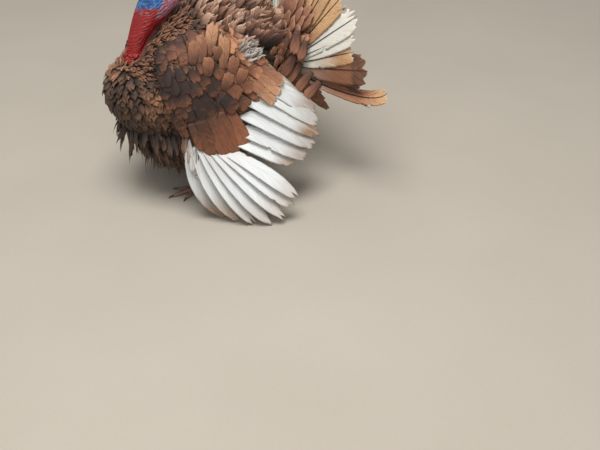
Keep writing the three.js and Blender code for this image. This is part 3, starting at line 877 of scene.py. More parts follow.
@dataclass
class Head:
    """The places and sizes of the head's own features, in mm from its middle, bill level."""

    centre: Array = field(default_factory=lambda: placed([0, -56, 668]))
    tilt: float = math.radians(9)
    eye: Place = (15.9, -15.0, 7.0)
    ear: Place = (21.0, 9.0, 3.0)
    brow: Place = (16.0, -15.0, 16.5)
    lid_reach: float = 11.0
    lid_opening: float = math.radians(45)
    lid_slant: float = 0.36  # how much narrower the opening is from top to bottom

    def local(self, points: Array) -> Array:
        """Points of the frame, in mm from the middle of the head."""
        p = (points - self.centre) * 1000
        c, s = math.cos(self.tilt), math.sin(self.tilt)
        return np.stack([p[:, 0], p[:, 1] * c + p[:, 2] * s, p[:, 2] * c - p[:, 1] * s], 1)

    def back(self, local: Array) -> Array:
        """Points in mm from the middle of the head, in the frame."""
        c, s = math.cos(self.tilt), math.sin(self.tilt)
        x, y, z = local.T
        return np.stack([x, y * c - z * s, y * s + z * c], 1) / 1000 + self.centre

    def eye_place(self, side: float) -> Array:
        """The middle of one eyeball, in the frame."""
        return self.back(np.array([[side * self.eye[0], *self.eye[1:]]]))[0]

    def shaped(self, points: Array, normals: Array) -> Array:
        """The head's skin with its brows, ears and lids.

        Args:
            points: The skin's vertices, in the frame.
            normals: Their normals, in the frame.

        Returns:
            The vertices' new places.
        """
        local = self.local(points)
        mirror = np.stack([np.abs(local[:, 0]), local[:, 1], local[:, 2]], 1)

        def hill(place: Place, reach: float) -> Array:
            """1 at a place and its mirror image, falling to 0 with distance."""
            away = np.linalg.norm(mirror - np.array(place), axis=1)
            return np.exp(-((away / reach) ** 2))

        rise = 1.3 * hill(self.brow, 6.5) + 0.9 * hill((15, -28, 4), 6.0)
        rise += 1.2 * hill(self.ear, 6.0) - 3.2 * hill(self.ear, 2.6)
        rise += 1.6 * hill((19, -6, -9), 8.0) - 1.0 * hill((18, -20, -6), 4.0)
        crown = smoothstep(8, 18, local[:, 2])
        cheek = hill((16, 6, -12), 16.0)
        wrinkle = np.sin(2 * np.pi * (np.linalg.norm(mirror - np.array(self.eye), axis=1) / 3.6
                                      + 0.8 * field_noise(points, 130.0, 5.0)))
        rise += 0.28 * wrinkle * hill((17, -8, 2), 15.0)
        head = smoothstep(-60, -40, local[:, 2])
        rise += head * (0.9 + 1.5 * crown + 0.9 * cheek) * self.warts(points)
        moved = self.local(points + normals * rise[:, None] / 1000)
        return self.back(self.with_lids(moved))

    @staticmethod
    def warts(points: Array) -> Array:
        """The height of the head's small caruncles at each point, 0 to 1."""
        near = np.array([noise.voronoi(Vector(p) / 0.0048)[0][0] for p in points])
        return np.clip(1 - near * 1.5, 0, 1) ** 0.8 * np.clip(
            0.75 + 0.8 * field_noise(points, 75.0, 7.0), 0, 1)

    def round_eye(self, local: Array, side: float) -> tuple[Array, ...]:
        """Where points are round one eye.

        Args:
            local: The points, in mm from the middle of the head.
            side: Which eye, 1 or -1.

        Returns:
            Their offsets and distances from the eyeball's middle, their angles from its
            axis, that axis and the angle at which the lids open there.
        """
        off = local - np.array([side * self.eye[0], *self.eye[1:]])
        away = np.linalg.norm(off, axis=1)
        axis = eye_axis(side)
        turn = np.arccos(np.clip(off @ axis / np.maximum(away, 1e-9), -1, 1))
        slant = np.abs(off[:, 2]) / np.maximum(away, 1e-9)
        return off, away, turn, axis, self.lid_opening * (1 - self.lid_slant * slant)

    def lid_mask(self, points: Array) -> Array:
        """1 on the rims of the lids and 0 elsewhere."""
        local = self.local(points)
        mask = np.zeros(len(points))
        for side in SIDES.values():
            _, away, turn, _, opening = self.round_eye(local, side)
            mask = np.maximum(mask, smoothstep(opening + 0.30, opening + 0.16, turn)
                              * (away < 12))
        return mask

    def with_lids(self, local: Array) -> Array:
        """The head's skin drawn round both eyeballs, with the lids open."""
        for side in SIDES.values():
            off, away, turn, axis, opening = self.round_eye(local, side)
            inside = smoothstep(opening + 0.10, opening - 0.06, turn)
            rim = np.exp(-(((turn - opening - 0.2) / 0.16) ** 2))
            ring = np.exp(-(((turn - opening - 0.52) / 0.13) ** 2))
            target = EYE_RADIUS * 1000 + 0.5 + 1.5 * rim + 0.8 * ring - 2.2 * inside
            near = smoothstep(self.lid_reach, 7.6, away) * (off @ axis > -2)
            local = local + unit(off) * ((target - away) * near)[:, None]
        return local


class SkinFinish:
    """The skin's material: bare head and neck, down under the feathers, scaly legs."""

    NAME = "turkey_skin"

    @classmethod
    def material(cls) -> Material:
        """Builds the material from the zones that the skin's mesh holds."""
        material, graph = new_graph(cls.NAME)
        place = graph.place()
        coarse, fine = graph.noise(place, 90.0, 4.0), graph.noise(place, 420.0, 3.0)
        ridge = graph.attribute("ridge")
        blue, purple, grey, bare, leg, lid, crest = (graph.attribute(name) for name in (
            "blue", "purple", "grey", "bare", "leg", "lid", "crest"))

        # Painted highlight on the ridges of folds, knobs and warts, and painted shade in their
        # creases.
        light = graph.math("ADD+", ridge, graph.scaled(fine, 0.5, -0.25))
        red = graph.mix(graph.ramp(light, 0.1, 0.55), "540709", "8e1516")
        red = graph.mix(graph.ramp(light, 0.62, 1.0), red, "b83434")
        red = graph.mix(graph.ramp(coarse, 0.55, 0.85), red, "8c282b")
        plum = graph.mix(graph.ramp(light, 0.2, 0.9), "6e3648", "be90a2")
        plum = graph.mix(graph.ramp(coarse, 0.5, 0.74), plum, "924a56")
        sky = graph.mix(graph.ramp(light, 0.15, 0.8), "082c68", "225e9e")
        sky = graph.mix(graph.ramp(coarse, 0.45, 0.7), sky, "3874aa")
        sky = graph.mix(graph.ramp(light, 0.8, 1.1), sky, "8cacc4")
        ash = graph.mix(graph.ramp(fine, 0.4, 0.65), "683a40", "96868e")
        frost = graph.mix(graph.ramp(light, 0.2, 0.9), "467096", "b2c0c6")

        def edged(zone: NodeSocket) -> NodeSocket:
            """A zone with an uneven edge."""
            uneven = graph.math("ADD", zone, graph.scaled(coarse, 0.9, -0.45))
            return graph.ramp(uneven, 0.35, 0.65)

        flesh = graph.mix(edged(blue), red, graph.mix(edged(crest), sky, frost))
        flesh = graph.mix(edged(purple), flesh, plum)
        flesh = graph.mix(edged(grey), flesh, ash)
        flesh = graph.mix(lid, flesh, "2a3648")

        down = graph.mix(coarse, "2e211a", "5c483a")
        scute = graph.mix(graph.ramp(ridge, 0.15, 0.6), "3a2824", "8c6c62")
        scute = graph.mix(graph.ramp(coarse, 0.45, 0.75), scute, "705c54")
        grime = graph.ramp(graph.add("SeparateXYZ", {"Vector": place}).outputs["Z"], 0.03, 0.0)
        scute = graph.mix(graph.times(grime, 0.45), scute, "80705e")
        base = graph.mix(bare, down, flesh)
        base = graph.mix(leg, base, scute)
        rough = graph.scaled(graph.math("MAXIMUM", bare, leg), -0.36, 0.9)
        graph.surface({"Base Color": base, "Roughness": rough, "Subsurface Weight": 0.08,
                       "Subsurface Radius": (0.006, 0.002, 0.0015)},
                      graph.scaled(coarse, 0.6, fine), 0.6, 0.0011)
        return material


@dataclass
class Skin:
    """One skin over head, neck, trunk, wings and legs, inside the coat by its depth."""

    neck: Neck = field(default_factory=Neck)
    head: Head = field(default_factory=Head)
    body_voxel: float = 0.005
    head_voxel: float = 0.0016
    leg_voxel: float = 0.0016
    swell: float = 0.0004  # closes the gaps between the CAD nodes
    wing_depth: float = 0.002
    base_depth: float = 0.012
    back_depth: float = 0.034  # more under the raised feathers of the back
    scute_run: float = 0.0052
    lump_rows: tuple[int, ...] = (13, 11, 8)
    lump_sizes: tuple[float, float] = (0.0062, 0.0088)
    body: tuple[str, ...] = ("trunk", "neck", *WINGS, "thigh_left", "thigh_right")
    crown: tuple[str, ...] = ("neck", "head", "snood")
    legs: tuple[str, ...] = ("shank_left", "shank_right", "foot_left", "foot_right")

    def depth(self, points: Array) -> Array:
        """How deep the skin lies under the trunk's outline at each point."""
        _, y, z = points.T
        back = smoothstep(0.47, 0.56, z) * smoothstep(-0.2, -0.1, y)
        rump = smoothstep(0.06, 0.15, y) * smoothstep(0.36, 0.44, z)
        return self.base_depth + self.back_depth * np.maximum(back, 0.6 * rump)

    def body_mesh(self) -> Mesh:
        """The feathered body, drawn in by the coat's depth, with the root of the tail."""
        mesh = remeshed(node_copy(self.body, self.swell), self.body_voxel, 6)
        points, normals = shape(mesh)
        wing = smoothstep(0.008, 0.003, Ground(*WINGS).distance(points))
        inwards = lerp(self.depth(points), self.wing_depth, wing)
        move_vertices(mesh, points - normals * inwards[:, None])
        rump = bmesh.new()
        bmesh.ops.create_uvsphere(rump, u_segments=32, v_segments=20, radius=1.0)
        bmesh.ops.scale(rump, vec=RUMP_SIZE, verts=rump.verts)
        bmesh.ops.translate(rump, vec=RUMP_MIDDLE, verts=rump.verts)
        rump.from_mesh(mesh)
        rump.to_mesh(mesh)
        rump.free()
        return remeshed(mesh, self.body_voxel, 4)

    def crown_mesh(self) -> Mesh:
        """The bare head and neck with their folds, knobs and lids."""
        mesh = node_copy(self.crown, self.swell)
        self.add_lumps(mesh)
        mesh = remeshed(mesh, self.head_voxel, 7)
        points = shape(mesh)[0]
        high = points[:, 2]
        keel = 1 - 0.42 * smoothstep(0.42, 0.05, self.neck.share(points)) \
            * smoothstep(0.50, 0.56, high) * (1 - smoothstep(0.61, 0.645, high))
        points[:, 0] *= keel
        move_vertices(mesh, points)
        normals = shape(mesh)[1]
        neck = 1 - smoothstep(0.62, 0.66, high)
        rise = self.neck.fold_depth * self.neck.folds(points) * neck
        rise += self.neck.knob_depth * self.neck.knobs(points)
        points = points + normals * rise[:, None]
        move_vertices(mesh, points)
        normals = shape(mesh)[1]
        shaped = self.head.shaped(points, normals)
        share = smoothstep(0.630, 0.648, points[:, 2])[:, None]
        move_vertices(mesh, lerp(points, shaped, share))
        return mesh

    def add_lumps(self, mesh: Mesh) -> None:
        """Adds the caruncles that hang in a ring round the neck's foot."""
        rng = np.random.default_rng(17)
        lumps = bmesh.new()
        lumps.from_mesh(mesh)
        for row, count in enumerate(self.lump_rows):
            for turn in np.radians(np.linspace(-115, 115, count)) + rng.normal(0, 0.06, count):
                size = rng.uniform(*self.lump_sizes) * (1 - 0.12 * row)
                place = (0.030 * math.sin(turn), -0.308 - 0.025 * math.cos(turn),
                         0.450 + 0.013 * row + rng.uniform(-0.003, 0.003))
                made = bmesh.ops.create_icosphere(lumps, subdivisions=3, radius=size)
                bmesh.ops.translate(lumps, vec=place, verts=made["verts"])
        lumps.to_mesh(mesh)
        lumps.free()

    def leg_mesh(self) -> Mesh:
        """The bare shanks and feet with their scutes."""
        mesh = remeshed(node_copy(self.legs, self.swell), self.leg_voxel, 5)
        points, normals = shape(mesh)
        rise = self.scutes(points) * smoothstep(0.0, 0.004, points[:, 2])
        move_vertices(mesh, points + normals * (rise * 0.0007)[:, None])
        return mesh

    def scutes(self, points: Array) -> Array:
        """The height of the legs' scutes: rings down the shank and across each toe."""
        run = np.full(len(points), 1.0)
        for node in ("foot_left", "foot_right"):
            low, high = (np.array(corner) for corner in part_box(node))
            middle = (low + high) / 2 + np.array([0, 0.012, 0])
            run = np.minimum(run, np.hypot(*(points[:, :2] - middle[:2]).T))
        shank = smoothstep(0.018, 0.03, points[:, 2])
        ring = lerp(run, points[:, 2] + 0.25 * run, shank) / self.scute_run
        return np.abs(np.sin(np.pi * ring)) ** 0.6 * 2 - 1

    def joined(self) -> Mesh:
        """The three meshes as one closed skin."""
        mesh = self.body_mesh()
        for other in (self.crown_mesh(), self.leg_mesh()):
            cutter = in_scene("cutter", other)
            mesh = with_modifiers(mesh, ("BOOLEAN", {"operation": "UNION", "object": cutter,
                                                     "solver": "MANIFOLD"}))
            bpy.data.objects.remove(cutter)
            bpy.data.meshes.remove(other)
        return mesh

    def zones(self, mesh: Mesh) -> None:
        """Marks where the skin is bare, scaly, blue, purple or grey, and its ridges."""
        points = shape(mesh)[0]
        y, z = points[:, 1], points[:, 2]
        share = self.neck.share(points)
        near, out = Ground("trunk").nearest(points)
        above = ((points - near) * out).sum(1)
        bare = (Ground(*self.crown).distance(points) < 0.014) * (above > -0.005) * (z > 0.418)
        leg = (z < 0.16) * (np.abs(np.abs(points[:, 0]) - 0.085) < 0.095) * (y < 0.05) * (y > -0.3)
        coat = Ground(*WINGS, "trunk", "thigh_left", "thigh_right").distance(points)
        leg = leg * (Ground(*self.legs).distance(points) < 0.004) * (coat > 0.0015)
        snood = smoothstep(0.004, 0.002, Ground("snood").distance(points)) * (z > 0.6)
        blue = smoothstep(0.598, 0.624, z) * (1 - snood)
        purple = np.maximum(
            smoothstep(0.565, 0.60, z) * smoothstep(0.35, 0.62, share) * (z < 0.64),
            smoothstep(0.62, 0.64, z) * smoothstep(-0.216, -0.186, y))
        purple = np.maximum(purple, 0.8 * snood)
        grey = smoothstep(0.580, 0.60, z) * smoothstep(0.646, 0.612, z) \
            * smoothstep(-0.205, -0.235, y) * 0.42
        lid = self.head.lid_mask(points)
        crest = smoothstep(0.682, 0.702, z) * 0.8
        warts = self.head.warts(points) * smoothstep(0.60, 0.64, z)
        # On the bare head and neck, this height is painted as highlight on ridges and shade in
        # creases.
        ridge = np.where(leg > 0.5, self.scutes(points) * 0.5 + 0.5,
                         0.4 + 0.35 * self.neck.folds(points) * (1 - 0.7 * blue)
                         + 0.4 * self.neck.knobs(points) + 0.45 * warts)
        for name, values in (("bare", bare), ("leg", leg), ("blue", blue), ("purple", purple),
                             ("grey", grey), ("ridge", ridge), ("lid", lid), ("crest", crest)):
            hold(mesh, name, values)

    def build(self) -> Object:
        """Makes the skin.

        Returns:
            Its object.
        """
        mesh = self.joined()
        self.zones(mesh)
        skin = new_object("skin", mesh, SkinFinish.material())
        return finish_piece(skin, "red_skin", *dict.fromkeys(self.body + self.crown + self.legs))


# ---- eyes, bill, claws
class HornFinish:
    """The materials of the hard parts."""

    @staticmethod
    def horn(name: str, root: str, tip: str, axis: str, start: float, end: float,
             roughness: float) -> Material:
        """Horn that changes colour along an axis, with growth lines.

        Args:
            name: The material's name.
            root: The colour at start.
            tip: The colour at end.
            axis: X, Y or Z.
            start: Where the root's colour ends, in metres along the axis.
            end: Where the tip's colour begins.
            roughness: The shader's roughness.

        Returns:
            The material.
        """
        material, graph = new_graph(name)
        place = graph.place()
        at = graph.add("SeparateXYZ", {"Vector": place}).outputs[axis]
        low, high = sorted((start, end))
        share = graph.ramp(at, low, high)
        if start > end:
            share = graph.math("SUBTRACT", 1.0, share)
        streaks = graph.noise(place, 260.0, 4.0)
        base = graph.mix(share, root, tip)
        soiled = graph.times(graph.ramp(streaks, 0.5, 0.8), 0.4)
        base = graph.mix(soiled, base, "544236")
        line = graph.math("SINE", graph.times(at, 5200.0))
        graph.surface({"Base Color": base, "Roughness": roughness},
                      graph.scaled(line, 0.15, streaks), 0.25, 0.0006)
        return material

    @staticmethod
    def eye(place: Array) -> Material:
        """A brown iris round a black pupil, under a clear wet coat."""
        material, graph = new_graph("eye_wet")
        split = graph.add("SeparateXYZ", {"Vector": graph.place()}).outputs
        off = [graph.math("SUBTRACT", graph.math("ABSOLUTE", split["X"]), abs(place[0])),
               graph.math("SUBTRACT", split["Y"], place[1]),
               graph.math("SUBTRACT", split["Z"], place[2])]
        axis = eye_axis(1.0) / EYE_RADIUS
        facing = graph.math("ADD", graph.times(off[0], axis[0]),
                            graph.scaled(off[1], axis[1], graph.times(off[2], axis[2])))
        fibres = graph.noise(graph.place(), 1500.0, 4.0)
        iris = graph.mix(fibres, "3a1e10", "84522c")
        iris = graph.mix(graph.ramp(facing, 0.72, 0.66), iris, "1a100c")
        base = graph.mix(graph.ramp(facing, 0.885, 0.905), iris, "050404")
        graph.surface({"Base Color": base, "Roughness": 0.08, "Coat Weight": 1.0,
                       "Coat Roughness": 0.02})
        return material


@dataclass
class HardParts:
    """The eyeballs, the bill, the claws and the spurs."""

    head: Head = field(default_factory=Head)
    swell: float = 0.0002
    nostril: Place = (5.6, -50.0, 6.0)

    def eyes(self) -> None:
        """Makes both eyeballs, each with a slight bulge of the cornea."""
        material = HornFinish.eye(self.head.eye_place(1.0))
        for label, side in SIDES.items():
            middle = self.head.eye_place(side)
            axis = eye_axis(side)
            ball = bmesh.new()
            bmesh.ops.create_uvsphere(ball, u_segments=40, v_segments=28, radius=EYE_RADIUS)
            for vertex in ball.verts:
                facing = float(np.dot(vertex.co, axis)) / EYE_RADIUS
                vertex.co *= 1 + 0.05 * max(0.0, facing - 0.7)
            bmesh.ops.translate(ball, vec=middle, verts=ball.verts)
            mesh = bpy.data.meshes.new(f"eyeball_{label}")
            ball.to_mesh(mesh)
            ball.free()
            eye = new_object(f"eyeball_{label}", mesh, material)
            finish_piece(eye, "eye", f"eye_{label}")

    def bill(self) -> None:
        """Makes both halves of the bill, the upper one with its nostrils."""
        material = HornFinish.horn("bill_horn", "7e6260", "ceba96", "Y", -0.262, -0.292, 0.38)
        for label in ("upper", "lower"):
            mesh = remeshed(node_copy([f"bill_{label}"], self.swell), 0.0008, 8)
            if label == "upper":
                points, normals = shape(mesh)
                local = self.head.local(points)
                local[:, 0] = np.abs(local[:, 0])
                off = (local - np.array(self.nostril)) / np.array([3.0, 4.6, 1.8])
                hole = np.exp(-((off**2).sum(1)) * 1.4)
                rim = np.exp(-((np.linalg.norm(off, axis=1) - 1.35) / 0.35) ** 2)
                rise = 0.0004 * rim - 0.0024 * hole
                move_vertices(mesh, points + normals * rise[:, None])
            piece = new_object(f"bill_{label}_horn", mesh, material)
            finish_piece(piece, "bill", f"bill_{label}")

    def claws(self) -> None:
        """Makes each claw and spur smooth."""
        claw = HornFinish.horn("claw_horn", "564238", "281e1a", "Z", 0.012, 0.002, 0.35)
        spur = HornFinish.horn("spur_horn", "685246", "3a2c26", "Z", 0.05, 0.062, 0.4)
        names = [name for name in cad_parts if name.startswith(("claw_", "spur_"))]
        for name in names:
            mesh = remeshed(node_copy([name], self.swell), 0.0007, 6)
            low = shape(mesh)[0]
            low[:, 2] = np.maximum(low[:, 2], 0.0001)
            move_vertices(mesh, low)
            material = spur if name.startswith("spur_") else claw
            finish_piece(new_object(f"{name}_horn", mesh, material), "claw", name)


# ---- feather finishes
BREAST = FeatherFinish("breast_feather", "322318", "704e38", "ba805e", tip="766250",
    tip_start=0.84, tip_share=0.3, base_shade=0.45, spread=0.26, slope=0.8, streaks=1.1)
MANTLE = FeatherFinish("mantle_feather", "362117", "80563f", "b68c6e", tip="967058",
    tip_start=0.78, tip_share=0.15, base_shade=0.4, spread=0.2, slope=0.8, streaks=0.9)
BACK = FeatherFinish("back_feather", "462a1f", "8e6450", "c8a68e", tip="c4a28a", tip_start=0.9,
    tip_share=0.3, rim="ceb098", rim_width=0.12, rim_share=0.25, base_shade=0.8, shaft_share=0.1,
    slope=0.85, streaks=1.3, spread=0.5)
SCAPULAR = FeatherFinish("scapular_feather", "523223", "805239", "ac7e5e", rim="60402f",
    rim_width=0.06, rim_share=0.2, base_shade=0.3, streaks=0.8)
COVERT = FeatherFinish("wing_covert", "2c1810", "7a4a31", "c68c67", rim="362117", rim_width=0.08,
    rim_share=0.38, base_shade=0.38)
GREATER = FeatherFinish("greater_covert", "4a2c1e", "865237", "aa704c", rim="4c3022",
    rim_width=0.04, rim_share=0.35, base_shade=0.2, spread=0.12)
TERTIAL = FeatherFinish("tertial", "684230", "a06e50", "c69878", tip="d6bca2", tip_start=0.88,
    tip_share=0.4, rim_share=0.2, rim="784e36", rim_width=0.05, base_shade=0.25, spread=0.15)
HAND_COVERT = FeatherFinish("hand_covert", "462e24", "826254", "ae9486", pale="d0cfcc",
    rim_share=0.15, rim="96847a", rim_width=0.08, base_shade=0.3, spread=0.2)
FLIGHT = FeatherFinish("flight_feather", "684e3a", "967a62", "b69e84", pale="d8dcdd", tip="a88c6e",
    tip_start=0.95, tip_share=0.5, rim="bcb4a8", rim_width=0.05, rim_share=0.45, shaft="ccc8be",
    shaft_share=0.6, base_shade=0.0, spread=0.1, fade=0.0, roughness=0.55, bump=0.25)
TAIL = FeatherFinish("tail_feather", "543e32", "96644a", "cea67a", pale="e8e6dc", rim="ceb28e",
    rim_width=0.04, rim_share=0.4, shaft="5c3e2e", shaft_share=0.7, base_shade=0.0, spread=0.1,
    fade=0.0, bump=0.3)
TAIL_COVERT = FeatherFinish("tail_covert", "4e2f21", "906049", "b68c70", rim="caae94",
    rim_width=0.045, rim_share=0.4, base_shade=0.4, slope=0.7, streaks=0.9)
UNDER_COVERT = FeatherFinish("under_tail_covert", "604232", "967862", "c0a68e", rim="d0beaa",
    rim_width=0.08, rim_share=0.4, base_shade=0.5)
THIGH = FeatherFinish("thigh_feather", "2c1d14", "583d2d", "7a543e", tip="644c3a", tip_start=0.85,
    tip_share=0.35, base_shade=0.45)
FLUFF = FeatherFinish("white_fluff", "705c4e", "a4988e", "d2cec9", base_shade=0.38,
    shaft_share=0.0, slope=0.9, streaks=0.6, spread=0.25)
BRISTLE = FeatherFinish("head_bristle", "1e1a1c", "5c5c64", "bebec4", base_shade=0.0,
    shaft_share=0.0, spread=1.2, fade=0.0)
DARK_QUILL = FeatherFinish("dark_quill", "281e1c", "5c4234", "606a74", base_shade=0.0,
    shaft_share=0.0, fade=0.0, roughness=0.4)

# ---- feather builds
SOFT = Vane(rows=6, columns=7, end=0.5, round_off=0.34, square=1.9, cup=0.28, ragged=0.26,
            split=0.05)
TUFT = Vane(rows=7, columns=7, root=0.5, widest=0.55, end=0.42, round_off=0.26, square=1.6,
            cup=0.3, ragged=0.34, split=0.15)
LOOSE = Vane(rows=6, columns=7, root=0.35, widest=0.55, end=0.5, round_off=0.32, square=1.8,
             cup=0.26, ragged=0.22, split=0.08)
HAIRY = Vane(rows=5, columns=5, root=0.4, widest=0.5, end=0.3, round_off=0.4, square=1.5,
             ragged=0.3, split=0.18, cup=0.22)
BROAD = Vane(rows=12, columns=11, root=0.75, widest=0.7, end=0.86, round_off=0.10, square=3.0,
             cup=0.10, ragged=0.07, split=0.05, thick=0.0016)
SQUARE = Vane(rows=8, columns=9, root=0.5, widest=0.72, end=0.9, round_off=0.11, square=4.0,
              cup=0.10, ragged=0.10, split=0.04, thick=0.0012)
ROUNDED = Vane(rows=7, columns=7, root=0.45, widest=0.65, end=0.82, round_off=0.22, square=2.6,
               cup=0.14, ragged=0.07, thick=0.0014)
REMEX = Vane(rows=26, columns=11, root=0.6, widest=0.66, end=0.66, round_off=0.07, square=2.4,
             cup=0.02, ragged=0.045, split=0.02, thick=0.0013, lead=0.8)
RECTRIX = Vane(rows=34, columns=13, root=0.22, widest=0.86, end=0.95, round_off=0.05,
               square=4.0, cup=0.05, ragged=0.05, split=0.07, thick=0.0016)
QUILL = Vane(rows=12, columns=3, root=1.0, widest=0.3, end=0.3, round_off=0.0, cup=0.0,
             ragged=0.0, thick=0.0042)


# ---- laying feathers
CLEAR = 0.006  # how high a feather leaves the surface before it bends back to it
LAYER = 0.0007  # how much higher each feather of a table lies than the one before
REACH = 0.94  # how much of its length a laid feather covers


def laid(ground: Ground, points: Array, normals: Array, flow: Array, length: float, half: float,
         lift: float, inner: Array | float, rng: np.random.Generator) -> Plumes:
    """Lays feathers along a surface.

    Args:
        ground: The surface.
        points: Where the feathers leave it.
        normals: The directions square to it there.
        flow: The ways that they lie.
        length: How long they are, in metres.
        half: Their half width.
        lift: How high their tips stand.
        inner: How far under the surface their roots are.
        rng: Where their unevenness comes from.

    Returns:
        The plumes, all of one tone.
    """
    count = len(points)
    way = flattened(flow, normals)
    run = (length * np.clip(1 + rng.normal(0, 0.12, count), 0.6, 1.4))[:, None]
    start = points + normals * CLEAR
    tips, tip_out = ground.nearest(start + way * run * REACH)
    middles, out = ground.nearest(start + way * run * REACH / 2)
    high = lift * rng.uniform(0.5, 1.5, count)[:, None]
    root = points - normals * np.broadcast_to(inner, count)[:, None]
    return Plumes(root, middles + out * (high + 0.05 * run), tips + tip_out * high,
                  unit(normals + out), half * (1 + rng.normal(0, 0.1, count)))


def listed(ground: Ground, table: Sequence[tuple], lift: float, bend: float = 0.09) -> Plumes:
    """Lays a table's feathers on a surface, the later ones higher.

    Args:
        ground: The surface.
        table: Each feather's root and tip, half width and tone, in mm but for the tone.
        lift: How high the first one lies, in metres.
        bend: How much each one bows, as a share of its length.

    Returns:
        The plumes.
    """
    rows = np.array(table, float)
    roots, tips, half = rows[:, :3] / 1000, rows[:, 3:6] / 1000, rows[:, 6] / 1000
    middles, length = (roots + tips) / 2, np.linalg.norm(tips - roots, axis=1)[:, None]
    out = ground.nearest(middles + np.array([0.02, 0, 0]))[1]
    high = out * (lift + LAYER * np.arange(len(rows)))[:, None]
    return Plumes(roots + high * 0.4, middles + high + out * bend * length, tips + high, out,
                  half, rows[:, 7])


# ---- wings
@dataclass(frozen=True)
class CovertRow:
    """One row of a wing's coverts. Sizes are in metres."""

    start: float  # share of the wing's breadth where it is rooted
    count: int
    length: float
    half: float
    span: tuple[float, float] = (0.0, 0.53)  # shares from the shoulder to the wrist
    lift: float = 0.005


# Large feathers of the left wing, in rows for listed().
CHESTNUT = (
    (237, -111, 349, 264, -58, 215, 25, 0.62), (239, -139, 343, 261, -95, 205, 25, 0.56),
    (238, -167, 336, 256, -126, 198, 25, 0.50), (236, -196, 328, 249, -163, 207, 24, 0.40),
    (227, -218, 323, 241, -190, 230, 22, 0.30),
)
TERTIALS = (
    (182, 24, 437, 216, 92, 374, 19, 0.55), (193, -2, 427, 226, 74, 350, 19, 0.72),
    (207, -29, 412, 235, 50, 328, 20, 0.80),
)
SHOULDER_SQUARES = (
    (184, -139, 495, 133, -96, 582, 20, 0.92), (203, -104, 451, 146, -72, 548, 21, 0.84),
    (214, -88, 420, 176, -51, 487, 20, 0.56), (194, -169, 479, 137, -133, 563, 21, 0.66),
    (190, -193, 482, 151, -166, 542, 20, 0.50), (192, -120, 482, 168, -104, 522, 19, 0.60),
    (209, -155, 444, 183, -140, 499, 20, 0.46), (217, -67, 404, 194, -31, 445, 19, 0.47),
    (224, -113, 397, 205, -84, 445, 20, 0.40),
)
DARK_SQUARES = (
    (199, -76, 450, 211, -27, 408, 23, 0.78), (189, -26, 450, 199, 30, 408, 22, 0.66),
    (215, -105, 421, 231, -60, 371, 24, 0.58), (210, -57, 418, 222, -15, 377, 24, 0.64),
    (227, -79, 378, 239, -42, 336, 24, 0.34), (228, -125, 388, 242, -80, 333, 24, 0.22),
)


